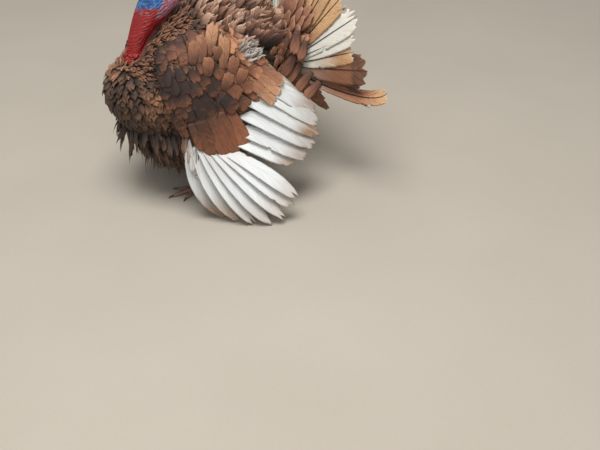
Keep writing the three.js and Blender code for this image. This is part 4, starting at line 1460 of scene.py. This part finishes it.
@dataclass
class Wing:
    """Both wings' feathers, laid for the left one and mirrored."""

    coat: Coat
    secondaries: int = 10
    primaries: int = 7
    coverts: tuple[tuple, ...] = (
        (-0.03, 22, 0.040, 0.0120, (0.0, 1.0)),
        (0.05, 19, 0.050, 0.0150, (0.0, 0.85)), (0.14, 13, 0.058, 0.0175),
        (0.24, 12, 0.062, 0.0190), (0.34, 12, 0.064, 0.0200),
        (0.45, 12, 0.066, 0.0205), (0.56, 12, 0.066, 0.0205),
        (0.67, 11, 0.066, 0.0210, (0.0, 0.47)),
        (0.79, 10, 0.064, 0.0210, (0.0, 0.43)),
        (0.90, 9, 0.060, 0.0210, (0.0, 0.36)))
    hand_coverts: tuple[tuple, ...] = (
        (0.66, 10, 0.092, 0.0125, (0.0, 0.9), 0.013),
        (0.50, 12, 0.090, 0.0120, (0, 1), 0.013),
        (0.32, 13, 0.074, 0.0110, (0, 1), 0.011),
        (0.17, 14, 0.056, 0.0100, (0, 1), 0.009),
        (0.02, 15, 0.040, 0.0085, (0, 1), 0.006))
    ground: Ground = field(init=False)

    def __post_init__(self) -> None:
        """Finds the left wing's surface."""
        self.ground = Ground("wing_left_arm", "wing_left_hand", "wing_left_secondaries")

    @staticmethod
    def tone(points: Array) -> Array:
        """How light the brown is at each place on the wing, with some painted shadow."""
        _, y, z = points.T
        top = smoothstep(0.435, 0.52, z) * smoothstep(-0.21, -0.13, y)
        rear = smoothstep(-0.13, -0.03, y) * smoothstep(0.325, 0.40, z)
        dark = np.exp(-(((y + 0.165) / 0.085) ** 2 + ((z - 0.365) / 0.07) ** 2))
        # An arc of dark tips on the median coverts, with the shadow under them painted in.
        dark_tips_and_shadow = np.exp(-(((z - 0.322 - 0.16 * np.maximum(y + 0.10, 0)) / 0.02) ** 2)) * (y < 0.0)
        return np.clip(0.40 + 0.30 * top + 0.40 * rear - 0.32 * np.maximum(dark, dark_tips_and_shadow), 0.02, 1)

    @staticmethod
    def lie(points: Array) -> Array:
        """The ways that the coverts lie: down in front, back and down behind."""
        share = smoothstep(-0.21, -0.02, points[:, 1])[:, None]
        return lerp(np.array([0.0, 0.36, -1.0]), np.array([0.0, 1.0, -0.95]), share)

    def row(self, net: Net, row: CovertRow, rng: np.random.Generator, flow: Rule) -> Plumes:
        """Lays one row of coverts.

        Args:
            net: The wing's surface.
            row: The row's sizes.
            rng: Where its unevenness comes from.
            flow: The way that feathers lie, from their roots.

        Returns:
            The row's plumes.
        """
        u = np.linspace(*row.span, row.count) + rng.normal(0, 0.2, row.count) / row.count
        v = row.start + rng.normal(0, 0.014, row.count)
        u, v = np.clip(u, 0, 1), np.clip(v, 0, 1)
        root = net.point(u, v)
        way = unit(flow(root)) + rng.normal(0, 0.14, (row.count, 3))
        return laid(self.ground, root, net.normal(u, v), way, row.length, row.half, row.lift,
                    0.001, rng)

    def pair(self, name: str, slot: str, finish: FeatherFinish, vane: Vane, plumes: Plumes,
             seed: int, node: str = "") -> None:
        """Makes a piece for each wing."""
        for label, side in SIDES.items():
            nodes = [f"wing_{label}_{node}"] if node else []
            self.coat.piece(f"{name}_{label}", slot, finish, vane, plumes, seed, nodes, side)
            seed += 1

    def secondary_plumes(self) -> Plumes:
        """The secondaries, from under the coverts to their tips."""
        t = np.linspace(0, 1, self.secondaries)
        rng = np.random.default_rng(31)
        root = along(SECONDARY_ROOTS, t)
        tip = along(SECONDARY_TIPS, t)
        tip += (tip - root) * rng.normal(0, 0.035, len(t))[:, None]
        middle = (root + tip) / 2 + lerp(np.array([0.010, 0, 0.004]), np.array(
            [0.024, 0, 0.018]), smoothstep(0.2, 0.5, t)[:, None])
        rows = np.linspace(0, 1, REMEX.rows + 1)[None, :]
        inner = smoothstep(0.42, 0.12, t)[:, None]
        stain = 0.46 + 0.54 * np.exp(-((t - 0.60) / 0.14) ** 2) + 0.5 * smoothstep(0.80, 1, t)
        stain = stain * (1 + rng.normal(0, 0.35, len(t)))
        pale = 1 - stain[:, None] * smoothstep(0.58, 0.92, rows) - inner * lerp(1.0, 0.6, rows)
        tone = 0.50 + 0.20 * inner * rows + 0.2 * smoothstep(0.9, 1.0, rows)
        return Plumes(root, middle, tip, self.tilted(tip, 0.06), 0.0340, tone,
                      np.clip(pale, 0, 1))

    def primary_plumes(self) -> Plumes:
        """The primaries, from the hand to their tips."""
        t = np.linspace(0, 1, self.primaries)
        root, middle, tip = (along(line, t) for line in (PRIMARY_ROOTS, PRIMARY_BENDS,
                                                         PRIMARY_TIPS))
        rows = np.linspace(0, 1, REMEX.rows + 1)[None, :]
        stain = 0.40 + 0.55 * smoothstep(0.60, 0.95, t)
        pale = 1 - stain[:, None] * smoothstep(0.62 - 0.2 * t[:, None], 0.95, rows) \
            - 0.16 * smoothstep(0.45, 0.15, rows)
        return Plumes(root, middle, tip, self.tilted(tip, 0.08), lerp(0.0300, 0.0240, t),
                      np.full(pale.shape, 0.55), pale)

    @staticmethod
    def tilted(tips: Array, share: float) -> Array:
        """The way each flight feather faces, its outer vane over its neighbour's."""
        distal = unit(np.gradient(tips, axis=0))
        return unit(FLIGHT_FACE - share * distal)

    @staticmethod
    def quills(plumes: Plumes, radius: float, lift: float) -> Plumes:
        """The shafts along the outer faces of some plumes."""
        up = plumes.ups * lift
        return Plumes(plumes.roots + up, plumes.middles + up, plumes.tips + up * 0.2, plumes.ups,
                      radius)

    def build(self) -> None:
        """Makes both wings' pieces."""
        rng = np.random.default_rng(11)
        coverts = Plumes.joined([self.row(ARM, CovertRow(*row), rng, self.lie)
                                 for row in self.coverts])
        # Their tone is darker in the hollows: painted shade.
        coverts.tone = self.tone(coverts.tips) - 0.6 * hollow_shade(coverts.middles)
        dark = listed(self.ground, DARK_SQUARES, 0.007)
        coverts = Plumes.joined([coverts, dark])

        def from_hand(root: Array) -> Array:
            """The way that the primaries near each place lie."""
            t = smoothstep(-0.10, -0.24, root[:, 1])
            return along(PRIMARY_BENDS - PRIMARY_ROOTS, t)

        hand = Plumes.joined([self.row(HAND, CovertRow(*row), rng, from_hand)
                              for row in self.hand_coverts])
        hand.pale = 0.92 * smoothstep(-0.252, -0.222, hand.tips[:, 1] - 0.25 * (
            hand.tips[:, 2] - 0.2))
        hand.tone = lerp(0.45, 0.85, hand.pale)
        squares = listed(self.ground, SHOULDER_SQUARES, 0.008)
        chestnut = listed(self.ground, CHESTNUT, 0.008)
        tertials = listed(self.ground, TERTIALS, 0.010)
        self.pair("chestnut_coverts", "covert_feathers", GREATER, BROAD, chestnut, 110)
        self.pair("tertials", "covert_feathers", TERTIAL, BROAD, tertials, 115)
        self.pair("wing_coverts", "covert_feathers", COVERT, SQUARE, coverts, 120)
        self.pair("scapulars", "covert_feathers", SCAPULAR, SQUARE, squares, 130)
        self.pair("hand_coverts", "hand_feathers", HAND_COVERT, ROUNDED, hand, 140)
        self.pair("secondary_feathers", "flight_feathers", FLIGHT, REMEX,
                  self.secondary_plumes(), 150, "secondaries")
        self.pair("primary_feathers", "flight_feathers", FLIGHT, REMEX, self.primary_plumes(),
                  160, "primaries")


# ---- tail
class TailLook(Enum):
    """The markings of a main tail feather: brown's tone and white's share, root to tip."""

    OCHRE = ((0.50, 0.65, 0.85, 0.95, 0.95, 0.88), (0.0, 0.0, 0.0, 0.0, 0.0, 0.0))
    WHITE = ((0.80, 0.80, 0.80, 0.85, 0.90, 0.90), (0.9, 1.0, 1.0, 1.0, 1.0, 0.94))
    TAN_TIP = ((0.70, 0.75, 0.80, 0.82, 0.84, 0.98), (0.95, 1.0, 0.45, 0.0, 0.0, 0.0))
    RUST = ((0.62, 0.55, 0.52, 0.46, 0.16, 0.20), (0.8, 0.2, 0.0, 0.0, 0.0, 0.0))
    LOWER = ((0.60, 0.38, 0.34, 0.30, 0.30, 0.40), (0.7, 0.1, 0.0, 0.0, 0.0, 0.0))
    TAN = ((0.50, 0.50, 0.60, 0.76, 0.86, 1.05), (0.4, 0.05, 0.0, 0.0, 0.0, 0.0))

    def along(self, kind: int) -> Array:
        """The tones (0) or the white shares (1) at each row of a main tail feather."""
        rows = np.linspace(0, 1, RECTRIX.rows + 1)
        return np.interp(rows, (0.08, 0.35, 0.60, 0.80, 0.85, 1.0), self.value[kind])


@dataclass(frozen=True)
class TailFeather:
    """A main tail feather: degrees from upright, length and half width, and its markings."""

    turn: float
    length: float
    half: float
    look: TailLook
    dark_quill: bool = False


# Broad feathers where the rump meets the tail, in rows for listed().
RUMP_BAND = (
    (108, 229, 460, 112, 205, 398, 15, 0.50), (86, 212, 489, 97, 191, 409, 18, 0.46),
    (42, 184, 499, 25, 134, 435, 20, 0.50), (76, 188, 463, 55, 129, 395, 20, 0.42),
    (94, 200, 420, 83, 151, 339, 19, 0.40), (100, 219, 384, 87, 174, 322, 18, 0.44),
    (132, 243, 364, 117, 195, 301, 17, 0.46), (157, 262, 335, 139, 213, 281, 17, 0.52),
)


@dataclass
class Tail:
    """The fan with its coverts on both faces."""

    coat: Coat
    lean: float = 18.0
    sweep: float = 19.0
    spread: float = 113.0
    covert_spread: float = 142.0
    covert_reach: tuple[float, ...] = (270, 236, 156, 104, 98, 146, 214)
    covert_depth: tuple[float, ...] = (112, 104, 66, 30, 22, 22, 20)
    under_spread: float = 96.0
    under_reach: float = 0.172
    under_depth: float = 0.026
    feathers: tuple[tuple, ...] = (
        (8, 0.366, 0.044, TailLook.OCHRE),
        (22, 0.362, 0.043, TailLook.OCHRE),
        (35, 0.366, 0.042, TailLook.OCHRE),
        (49, 0.380, 0.043, TailLook.WHITE, True),
        (56, 0.350, 0.036, TailLook.WHITE, True),
        (65.5, 0.330, 0.036, TailLook.TAN_TIP),
        (76, 0.374, 0.052, TailLook.RUST),
        (90, 0.332, 0.050, TailLook.RUST),
        (101, 0.318, 0.046, TailLook.LOWER),
        (112, 0.330, 0.044, TailLook.LOWER))
    long_tips: tuple[tuple[int, int, int], ...] = ((398, 358, 364), (336, 336, 284))

    def direction(self, turn: Array) -> Array:
        """The way that a feather points, its turn given in degrees to the left of upright."""
        swept = np.clip((np.abs(turn) - 72) / (self.spread - 72), 0, 1)
        lean, turn = np.radians(self.lean + self.sweep * swept**2), np.radians(turn)
        return np.stack([np.sin(turn) * np.cos(lean), np.sin(lean),
                         np.cos(turn) * np.cos(lean)], 1)

    def front(self, turn: Array) -> Array:
        """The direction square to the fan there, on its front face."""
        across = self.direction(turn + 1) - self.direction(turn - 1)
        return unit(np.cross(across, self.direction(turn)))

    def fan_plumes(self) -> tuple[Plumes, Array]:
        """The main feathers of both sides, and which of them have dark quills."""
        specs = [(side, TailFeather(*spec)) for side in SIDES.values()
                 for spec in self.feathers]
        turn = np.array([side * spec.turn for side, spec in specs])
        length = np.array([spec.length for _, spec in specs])
        way, front = self.direction(turn), self.front(turn)
        outward = unit(self.direction(turn + np.sign(turn)) - way)
        layer = 0.0035 - 0.00008 * np.abs(turn)
        root = TAIL_ROOT + way * 0.02 + front * layer[:, None]
        tip = TAIL_ROOT + way * length[:, None] + front * layer[:, None]
        middle = (root + tip) / 2 + front * 0.006
        tone, pale = (np.array([spec.look.along(k) for _, spec in specs]) for k in (0, 1))
        half = np.array([spec.half for _, spec in specs])
        dark = np.array([spec.dark_quill for _, spec in specs])
        plumes = Plumes(root, middle, tip, unit(front - 0.07 * outward), half, tone, pale)
        return plumes, dark

    def long_plumes(self) -> Plumes:
        """The long bent feather low on each side."""
        tip, bend = (np.array(point) / 1000 for point in self.long_tips)
        sides = np.array(list(SIDES.values()))[:, None]
        flip = np.concatenate([sides, np.ones((2, 2))], 1)
        tone, pale = (np.tile(TailLook.TAN.along(k), (2, 1)) for k in (0, 1))
        ups = unit(flip * np.array([0.45, -0.62, 0.62]))
        return Plumes(np.tile(TAIL_ROOT, (2, 1)), bend * flip, tip * flip, ups, 0.026, tone, pale)

    def covert_plumes(self, spread: float, reach: Rule, depth: Rule, side: float,
                      rows: Sequence[Place], seed: int) -> Plumes:
        """Lays a layer of coverts on one face of the fan.

        Args:
            spread: Degrees from upright to the last covert.
            reach: The layer's length for a share of the spread, in metres.
            depth: Its thickness at the root for that share, in metres.
            side: 1 for the front face, -1 for the back.
            rows: Each row's reach as a share, its feathers' length and half width.
            seed: What the unevenness starts from.

        Returns:
            The plumes.
        """
        rng = np.random.default_rng(seed)
        parts = []
        for share_out, length, half in rows:
            mean = share_out * float(np.mean([reach(np.array([s]))[0] for s in (0, 0.3, 0.6, 1)]))
            count = max(5, int(np.radians(2 * spread) * mean / (half * 1.15)))
            turn = np.linspace(-spread, spread, count) + rng.normal(0, 1.2, count)
            turn = np.clip(turn, -spread, spread)
            share = np.abs(turn) / spread
            full, thick = reach(share), depth(share)
            out = share_out * (1 + rng.normal(0, 0.03, count))
            far = lerp(0.024, full, out)
            near = np.maximum(far - length * (1 + rng.normal(0, 0.06, count)), 0.012)
            way, front = self.direction(turn), self.front(turn) * side

            def height(at: Array) -> Array:
                """The layer's outer face above the fan, a share of the way out."""
                return 0.0055 + lerp(thick, 0.004, np.clip(at, 0, 1) ** 1.4)

            high = height(out)
            low = height((near - 0.024) / (full - 0.024)) * 0.55
            root = TAIL_ROOT + way * near[:, None] + front * low[:, None]
            tip = TAIL_ROOT + way * far[:, None] + front * (high + 0.002)[:, None]
            middle = (root + tip) / 2 + front * (0.10 * length)
            outward = unit(self.direction(turn + 1) - self.direction(turn - 1))
            lean = unit(front - 0.10 * outward * np.sign(turn)[:, None])
            parts.append(Plumes(root, middle, tip, lean,
                                half * (1 + rng.normal(0, 0.06, count))))
        return Plumes.joined(parts)

    def vent_plumes(self) -> Plumes:
        """The soft feathers that hang over the root of the tail from behind."""
        rng = np.random.default_rng(207)
        parts = []
        for climb, reach in ((62, 1.12), (36, 1.14), (10, 1.16), (-16, 1.25), (-42, 1.45)):
            turn = np.linspace(-66, 66, 6) + rng.normal(0, 4, 6) + 5 * (climb % 4)
            root, middle, tip = (self.on_root(turn, drop, share) for drop, share in (
                (climb, 0.94), (climb - 24, 0.55 + 0.55 * reach), (climb - 50, reach)))
            ups = unit(self.on_root(turn, climb - 24, 1.0) - RUMP_MIDDLE)
            parts.append(Plumes(root, middle, tip, ups, 0.019, 0.55))
        return Plumes.joined(parts)

    def on_root(self, turn: Array, climb: float, share: float) -> Array:
        """Points round the root of the tail, by degrees from straight behind and up."""
        turn, climb = np.radians(turn), math.radians(climb)
        way = np.stack([np.sin(turn) * math.cos(climb), np.cos(turn) * math.cos(climb),
                        np.full(len(turn), math.sin(climb))], 1)
        return RUMP_MIDDLE + way * RUMP_SIZE * share

    def build(self) -> None:
        """Makes the tail's pieces."""
        fan, dark = self.fan_plumes()
        fan = Plumes.joined([fan, self.long_plumes()])
        dark = np.concatenate([dark, [False, False]])
        self.coat.piece("tail_feathers", "tail_feathers", TAIL, RECTRIX, fan, 201, ["tail_fan"])
        quills = Wing.quills(fan, 0.0020, 0.0022)
        quills.tone = np.where(dark, 0.9, 0.2)
        self.coat.piece("tail_quills", "tail_feathers", DARK_QUILL, QUILL, quills, 202)
        upper = self.covert_plumes(
            self.covert_spread,
            lambda share: along(np.array(self.covert_reach) / 1000, share),
            lambda share: along(np.array(self.covert_depth) / 1000, share), 1.0,
            ((1.0, 0.095, 0.024), (0.88, 0.092, 0.023), (0.76, 0.088, 0.023),
             (0.64, 0.082, 0.022), (0.52, 0.075, 0.021), (0.40, 0.07, 0.020),
             (0.28, 0.06, 0.019)), 203)
        low = smoothstep(0.10, 0.02, upper.tips[:, 2] - TAIL_ROOT[2])
        upper.tone = 0.56 - 0.12 * low
        band = listed(Ground("tail_coverts_upper", "tail_fan"), RUMP_BAND, 0.012, 0.06)
        upper = Plumes.joined([upper, band.both_sides()])
        self.coat.piece("tail_covert_feathers", "tail_covert_feathers", TAIL_COVERT, ROUNDED,
                        upper, 204, ["tail_coverts_upper"])
        under = self.covert_plumes(
            self.under_spread, lambda share: self.under_reach + 0 * share,
            lambda share: self.under_depth + 0 * share, -1.0,
            ((1.0, 0.08, 0.022), (0.8, 0.075, 0.021), (0.6, 0.07, 0.02), (0.4, 0.06, 0.018)),
            205)
        under.tone = under.tone + 0.2
        under = Plumes.joined([under, self.vent_plumes()])
        self.coat.piece("under_tail_feathers", "under_tail_feathers", UNDER_COVERT, LOOSE, under,
                        206, ["tail_coverts_under"])


# ---- body plumage
@dataclass(frozen=True)
class Patch:
    """One kind of plumage on the body. Lengths are in metres."""

    name: str
    finish: FeatherFinish
    vane: Vane
    spacing: float
    length: float
    half: float
    keep: Rule  # which of the points, given with their normals, grow a feather
    flow: Rule
    tone: Rule | float
    slot: str = "body_feathers"
    nodes: tuple[str, ...] = ("trunk",)
    lift: float = 0.004
    rise: float = 0.0  # degrees off the skin; 0 lies flat
    stray: float = 0.18
    seed: int = 1


@dataclass
class Plumage:
    """Lays the body's patches over the skin."""

    coat: Coat
    skin: Skin
    bare_room: float = 0.0035  # how far feathers stay from the bare neck
    knob_room: float = 0.011  # and from the knobs at its foot

    def lay(self, patch: Patch) -> Plumes:
        """Roots a patch's feathers in the skin and bends them along the outline.

        Args:
            patch: The patch.

        Returns:
            Its plumes.
        """
        ground = Ground(*patch.nodes)
        rng = np.random.default_rng(patch.seed)
        points, normals = ground.scatter(patch.spacing, patch.seed)
        keep = patch.keep(points, normals)
        if "neck" not in patch.nodes:  # feathers stop where the bare skin starts
            knobs = (points[:, 1] < -0.285) & (points[:, 2] > 0.43)
            room = np.where(knobs, self.knob_room, self.bare_room)
            keep &= Ground("neck", "head").distance(points) > room
        points, normals = points[keep], normals[keep]
        count = len(points)
        flow = unit(patch.flow(points)) + rng.normal(0, patch.stray, (count, 3))
        on_wing = all(node.startswith("wing") for node in patch.nodes)
        depth = np.full(count, self.skin.wing_depth) if on_wing else self.skin.depth(points)
        tone = patch.tone(points) if callable(patch.tone) else np.full(count, patch.tone)
        if not patch.rise:
            plumes = laid(ground, points, normals, flow, patch.length, patch.half, patch.lift,
                          depth, rng)
            plumes.tone = tone
            return plumes
        way = flattened(flow, normals)
        length = (patch.length * np.clip(1 + rng.normal(0, 0.14, count), 0.6, 1.4))[:, None]
        root = points - normals * depth[:, None]
        angle = np.radians(patch.rise) * (1 + rng.normal(0, 0.16, count))[:, None]
        steep = angle * 1.35
        stand = way * np.cos(steep) + normals * np.sin(steep)
        middle = root + stand * length * 0.5
        tip = root + (way * np.cos(angle) + normals * np.sin(angle)) * length
        ups = unit(normals * np.cos(angle) - way * np.sin(angle))
        half = patch.half * (1 + rng.normal(0, 0.1, count))
        return Plumes(root, middle, tip, ups, half, tone)

    def build(self, patches: Sequence[Patch]) -> None:
        """Makes each patch a piece."""
        for patch in patches:
            plumes = self.lay(patch)
            self.coat.piece(patch.name, patch.slot, patch.finish, patch.vane, plumes,
                            patch.seed + 500)


def lying(way: Place, fan: float = 0.0) -> Rule:
    """A rule that lays feathers one way, turned outwards with their distance to a side."""
    def flow(points: Array) -> Array:
        """The way at each point."""
        flows = np.tile(np.array(way, float), (len(points), 1))
        flows[:, 0] = fan * points[:, 0]
        return flows
    return flow


def from_tail(points: Array) -> Array:
    """The way out from the root of the tail, and back."""
    flow = points - TAIL_ROOT
    flow[:, 1] = 0.12
    return flow


def is_back(points: Array) -> Array:
    """Where the raised feathers of the back grow."""
    _, y, z = points.T
    return (z > 0.46 + 0.10 * smoothstep(-0.06, -0.16, y)) & (y > -0.15) & (y < 0.12)


def is_mantle(points: Array) -> Array:
    """Where the fine feathers between neck and wing grow."""
    _, y, z = points.T
    return (z > 0.435) & (y <= -0.13) & ~is_back(points)


def near_fluff(points: Array) -> Array:
    """How far each point is from the white tuft on its side, 1 at the tuft's edge."""
    off = (np.abs(points) * [1, 0, 1] + points * [0, 1, 0]) - np.array([0.160, 0.000, 0.476])
    return np.linalg.norm(off / np.array([0.035, 0.042, 0.030]), axis=1)


def blob(points: Array, place: Place, reach: float) -> Array:
    """1 at a place on either side, falling to 0 with distance."""
    off = np.stack([np.abs(points[:, 0]), points[:, 1], points[:, 2]], 1) - np.array(place)
    return np.exp(-(off**2).sum(1) / reach**2)


def hollow_shade(points: Array) -> Array:
    """Painted shade on the plumage: in front of the wing, and between back and tail."""
    front = np.maximum(blob(points, (0.105, -0.276, 0.468), 0.04),
                       blob(points, (0.170, -0.258, 0.446), 0.045))
    return np.maximum(front, blob(points, (0.134, 0.060, 0.445), 0.055))


def breast_tone(points: Array) -> Array:
    """The breast's brown: blackish, a rusty patch each side, a tan collar and painted shade."""
    x, _, z = points.T
    rust = np.maximum(blob(points, (0.140, -0.305, 0.392), 0.042),
                      blob(points, (0.165, -0.262, 0.350), 0.035))
    collar = smoothstep(0.405, 0.44, z) * smoothstep(0.05, 0.01, x)
    return 0.20 + 0.55 * rust + 0.62 * collar - 0.3 * hollow_shade(points)


def mantle_tone(points: Array) -> Array:
    """The brown between neck and wing, tan before the neck, with painted shade in the hollow."""
    collar = smoothstep(-0.31, -0.335, points[:, 1]) * smoothstep(0.03, 0.0, points[:, 0])
    return 0.54 + 0.3 * collar - 0.75 * hollow_shade(points)


ARMS = ("wing_left_arm", "wing_right_arm")
OFF_BREAST = lying((0, 0.35, -1), 2.0)
OFF_NECK = lying((0, 0.75, -0.6), 3.0)
UP_BACK = lying((0, 0.8, 0.55), 1.2)
REARWARDS = lying((0, 1, -0.35))
PATCHES = (
    Patch("breast_feathers", BREAST, SOFT, 0.0130, 0.060, 0.0150,
          lambda p, n: (p[:, 1] < -0.18) & (p[:, 2] <= 0.445), OFF_BREAST, breast_tone,
          lift=0.006, stray=0.22, seed=21),
    Patch("flank_feathers", THIGH, SOFT, 0.0170, 0.062, 0.0160,
          lambda p, n: (p[:, 1] >= -0.18) & ~is_back(p) & (p[:, 2] <= 0.60) & (p[:, 1] < 0.10),
          # Darker in the hollows: painted shade.
          REARWARDS, lambda p: 0.35 - 0.3 * hollow_shade(p), seed=22),
    Patch("breast_tufts", THIGH, TUFT, 0.0110, 0.096, 0.0125,
          lambda p, n: (p[:, 1] < -0.04) & (p[:, 2] < 0.27) & (n[:, 2] < -0.15),
          OFF_BREAST, 0.30, rise=50.0, stray=0.3, seed=31),
    Patch("mantle_feathers", MANTLE, HAIRY, 0.0070, 0.054, 0.0062, lambda p, n: is_mantle(p),
          OFF_NECK, mantle_tone, lift=0.0026, stray=0.2, seed=23),
    Patch("shoulder_feathers", MANTLE, HAIRY, 0.0074, 0.052, 0.0066,
          lambda p, n: (p[:, 1] < -0.185) & (p[:, 2] > 0.44), OFF_NECK, mantle_tone,
          "covert_feathers", ARMS, lift=0.0030, stray=0.2, seed=24),
    Patch("back_feathers", BACK, LOOSE, 0.0180, 0.104, 0.0185,
          lambda p, n: is_back(p) & (near_fluff(p) > 0.9), UP_BACK,
          # Darker in the hollow between back and tail: painted shade.
          lambda p: 0.60 - 0.35 * hollow_shade(p), rise=30.0, stray=0.28, seed=25),
    Patch("white_fluff", FLUFF, HAIRY, 0.0060, 0.046, 0.0062, lambda p, n: near_fluff(p) < 1.0,
          UP_BACK, 0.7, "covert_feathers", ARMS, rise=38.0, stray=0.35, seed=30),
    Patch("rump_feathers", TAIL_COVERT, ROUNDED, 0.0190, 0.066, 0.0175,
          lambda p, n: p[:, 1] >= 0.10, from_tail, 0.5, lift=0.005, stray=0.12, seed=26),
    Patch("thigh_feathers", THIGH, SOFT, 0.0120, 0.050, 0.0115, lambda p, n: p[:, 2] > 0.10,
          lying((0, 0.3, -1)), 0.3, nodes=("thigh_left", "thigh_right"), lift=0.005, stray=0.2,
          seed=27),
    Patch("wing_lining", UNDER_COVERT, SOFT, 0.0210, 0.056, 0.0165,
          lambda p, n: n[:, 0] * np.sign(p[:, 0]) < 0.1, REARWARDS, 0.4, "covert_feathers",
          (*ARMS, "wing_left_hand", "wing_right_hand"), lift=0.003, seed=28),
    Patch("head_bristles", BRISTLE, HAIRY, 0.0075, 0.009, 0.00035, lambda p, n: p[:, 2] > 0.60,
          lying((0, 0.8, -0.5)), 0.6, "red_skin", ("head", "neck"), rise=30.0, stray=0.5,
          seed=29),
)


# ---- the studio
@dataclass
class Studio:
    """The floor, the lights and the camera."""

    camera_place: Place = (2.526, -1.0621, 1.5)
    looking: Place = (-0.7476, 0.3925, -0.5358)
    lens: float = 54.0
    floor_size: float = 9.0

    def floor(self) -> None:
        """Makes the plain pale floor."""
        material, graph = new_graph("studio_floor")
        place = graph.place()
        patches, grit = graph.noise(place, 1.6, 3.0), graph.noise(place, 90.0, 4.0)
        base = graph.mix(patches, "a8a195", "b6afa4")
        base = graph.mix(graph.times(grit, 0.12), base, "8c8274")
        graph.surface({"Base Color": base, "Roughness": 0.9}, grit, 0.15, 0.002)
        sheet = bmesh.new()
        bmesh.ops.create_grid(sheet, x_segments=8, y_segments=8, size=self.floor_size)
        mesh = bpy.data.meshes.new("floor")
        sheet.to_mesh(mesh)
        sheet.free()
        new_object("floor", mesh, material)

    @staticmethod
    def lamp(name: str, place: Place, size: float, power: float,
             tint: Place) -> None:
        """Adds a square soft lamp that looks at the bird."""
        lamp = bpy.data.lights.new(name, "AREA")
        lamp.size, lamp.energy, lamp.color = size, power, tint
        holder = in_scene(name, lamp)
        holder.location = place
        way = Vector((0, 0, 0.3)) - Vector(place)
        holder.rotation_euler = way.to_track_quat("-Z", "Y").to_euler()

    def camera(self) -> None:
        """Adds the camera."""
        data = bpy.data.cameras.new("camera")
        data.lens, data.sensor_width = self.lens, 36.0
        camera = in_scene("camera", data)
        camera.location = self.camera_place
        camera.rotation_euler = Vector(self.looking).to_track_quat("-Z", "Y").to_euler()
        bpy.context.scene.camera = camera

    def build(self) -> None:
        """Sets the studio up."""
        self.floor()
        self.camera()
        world = bpy.data.worlds.new("soft_sky")
        world.use_nodes = True
        sky = world.node_tree.nodes["Background"].inputs
        sky["Color"].default_value, sky["Strength"].default_value = (1.0, 0.98, 0.95, 1.0), 0.36
        bpy.context.scene.world = world
        self.lamp("key_lamp", (1.3, -1.1, 5.6), 3.2, 350.0, (1.0, 0.985, 0.96))
        self.lamp("fill_lamp", (3.4, -1.6, 2.0), 2.4, 30.0, (1.0, 0.98, 0.96))
        bpy.context.scene.view_settings.view_transform = "Standard"


def main() -> None:
    """Builds the turkey and its studio."""
    logging.basicConfig(level=logging.INFO, format="%(name)s: %(message)s")
    Studio().build()
    skin = Skin()
    body = skin.build()
    coat = Coat(Unwrap(body.data))
    HardParts(skin.head).eyes()
    HardParts(skin.head).bill()
    HardParts(skin.head).claws()
    Wing(coat).build()
    Tail(coat).build()
    Plumage(coat, skin).build(PATCHES)


if __name__ == "__main__":
    main()
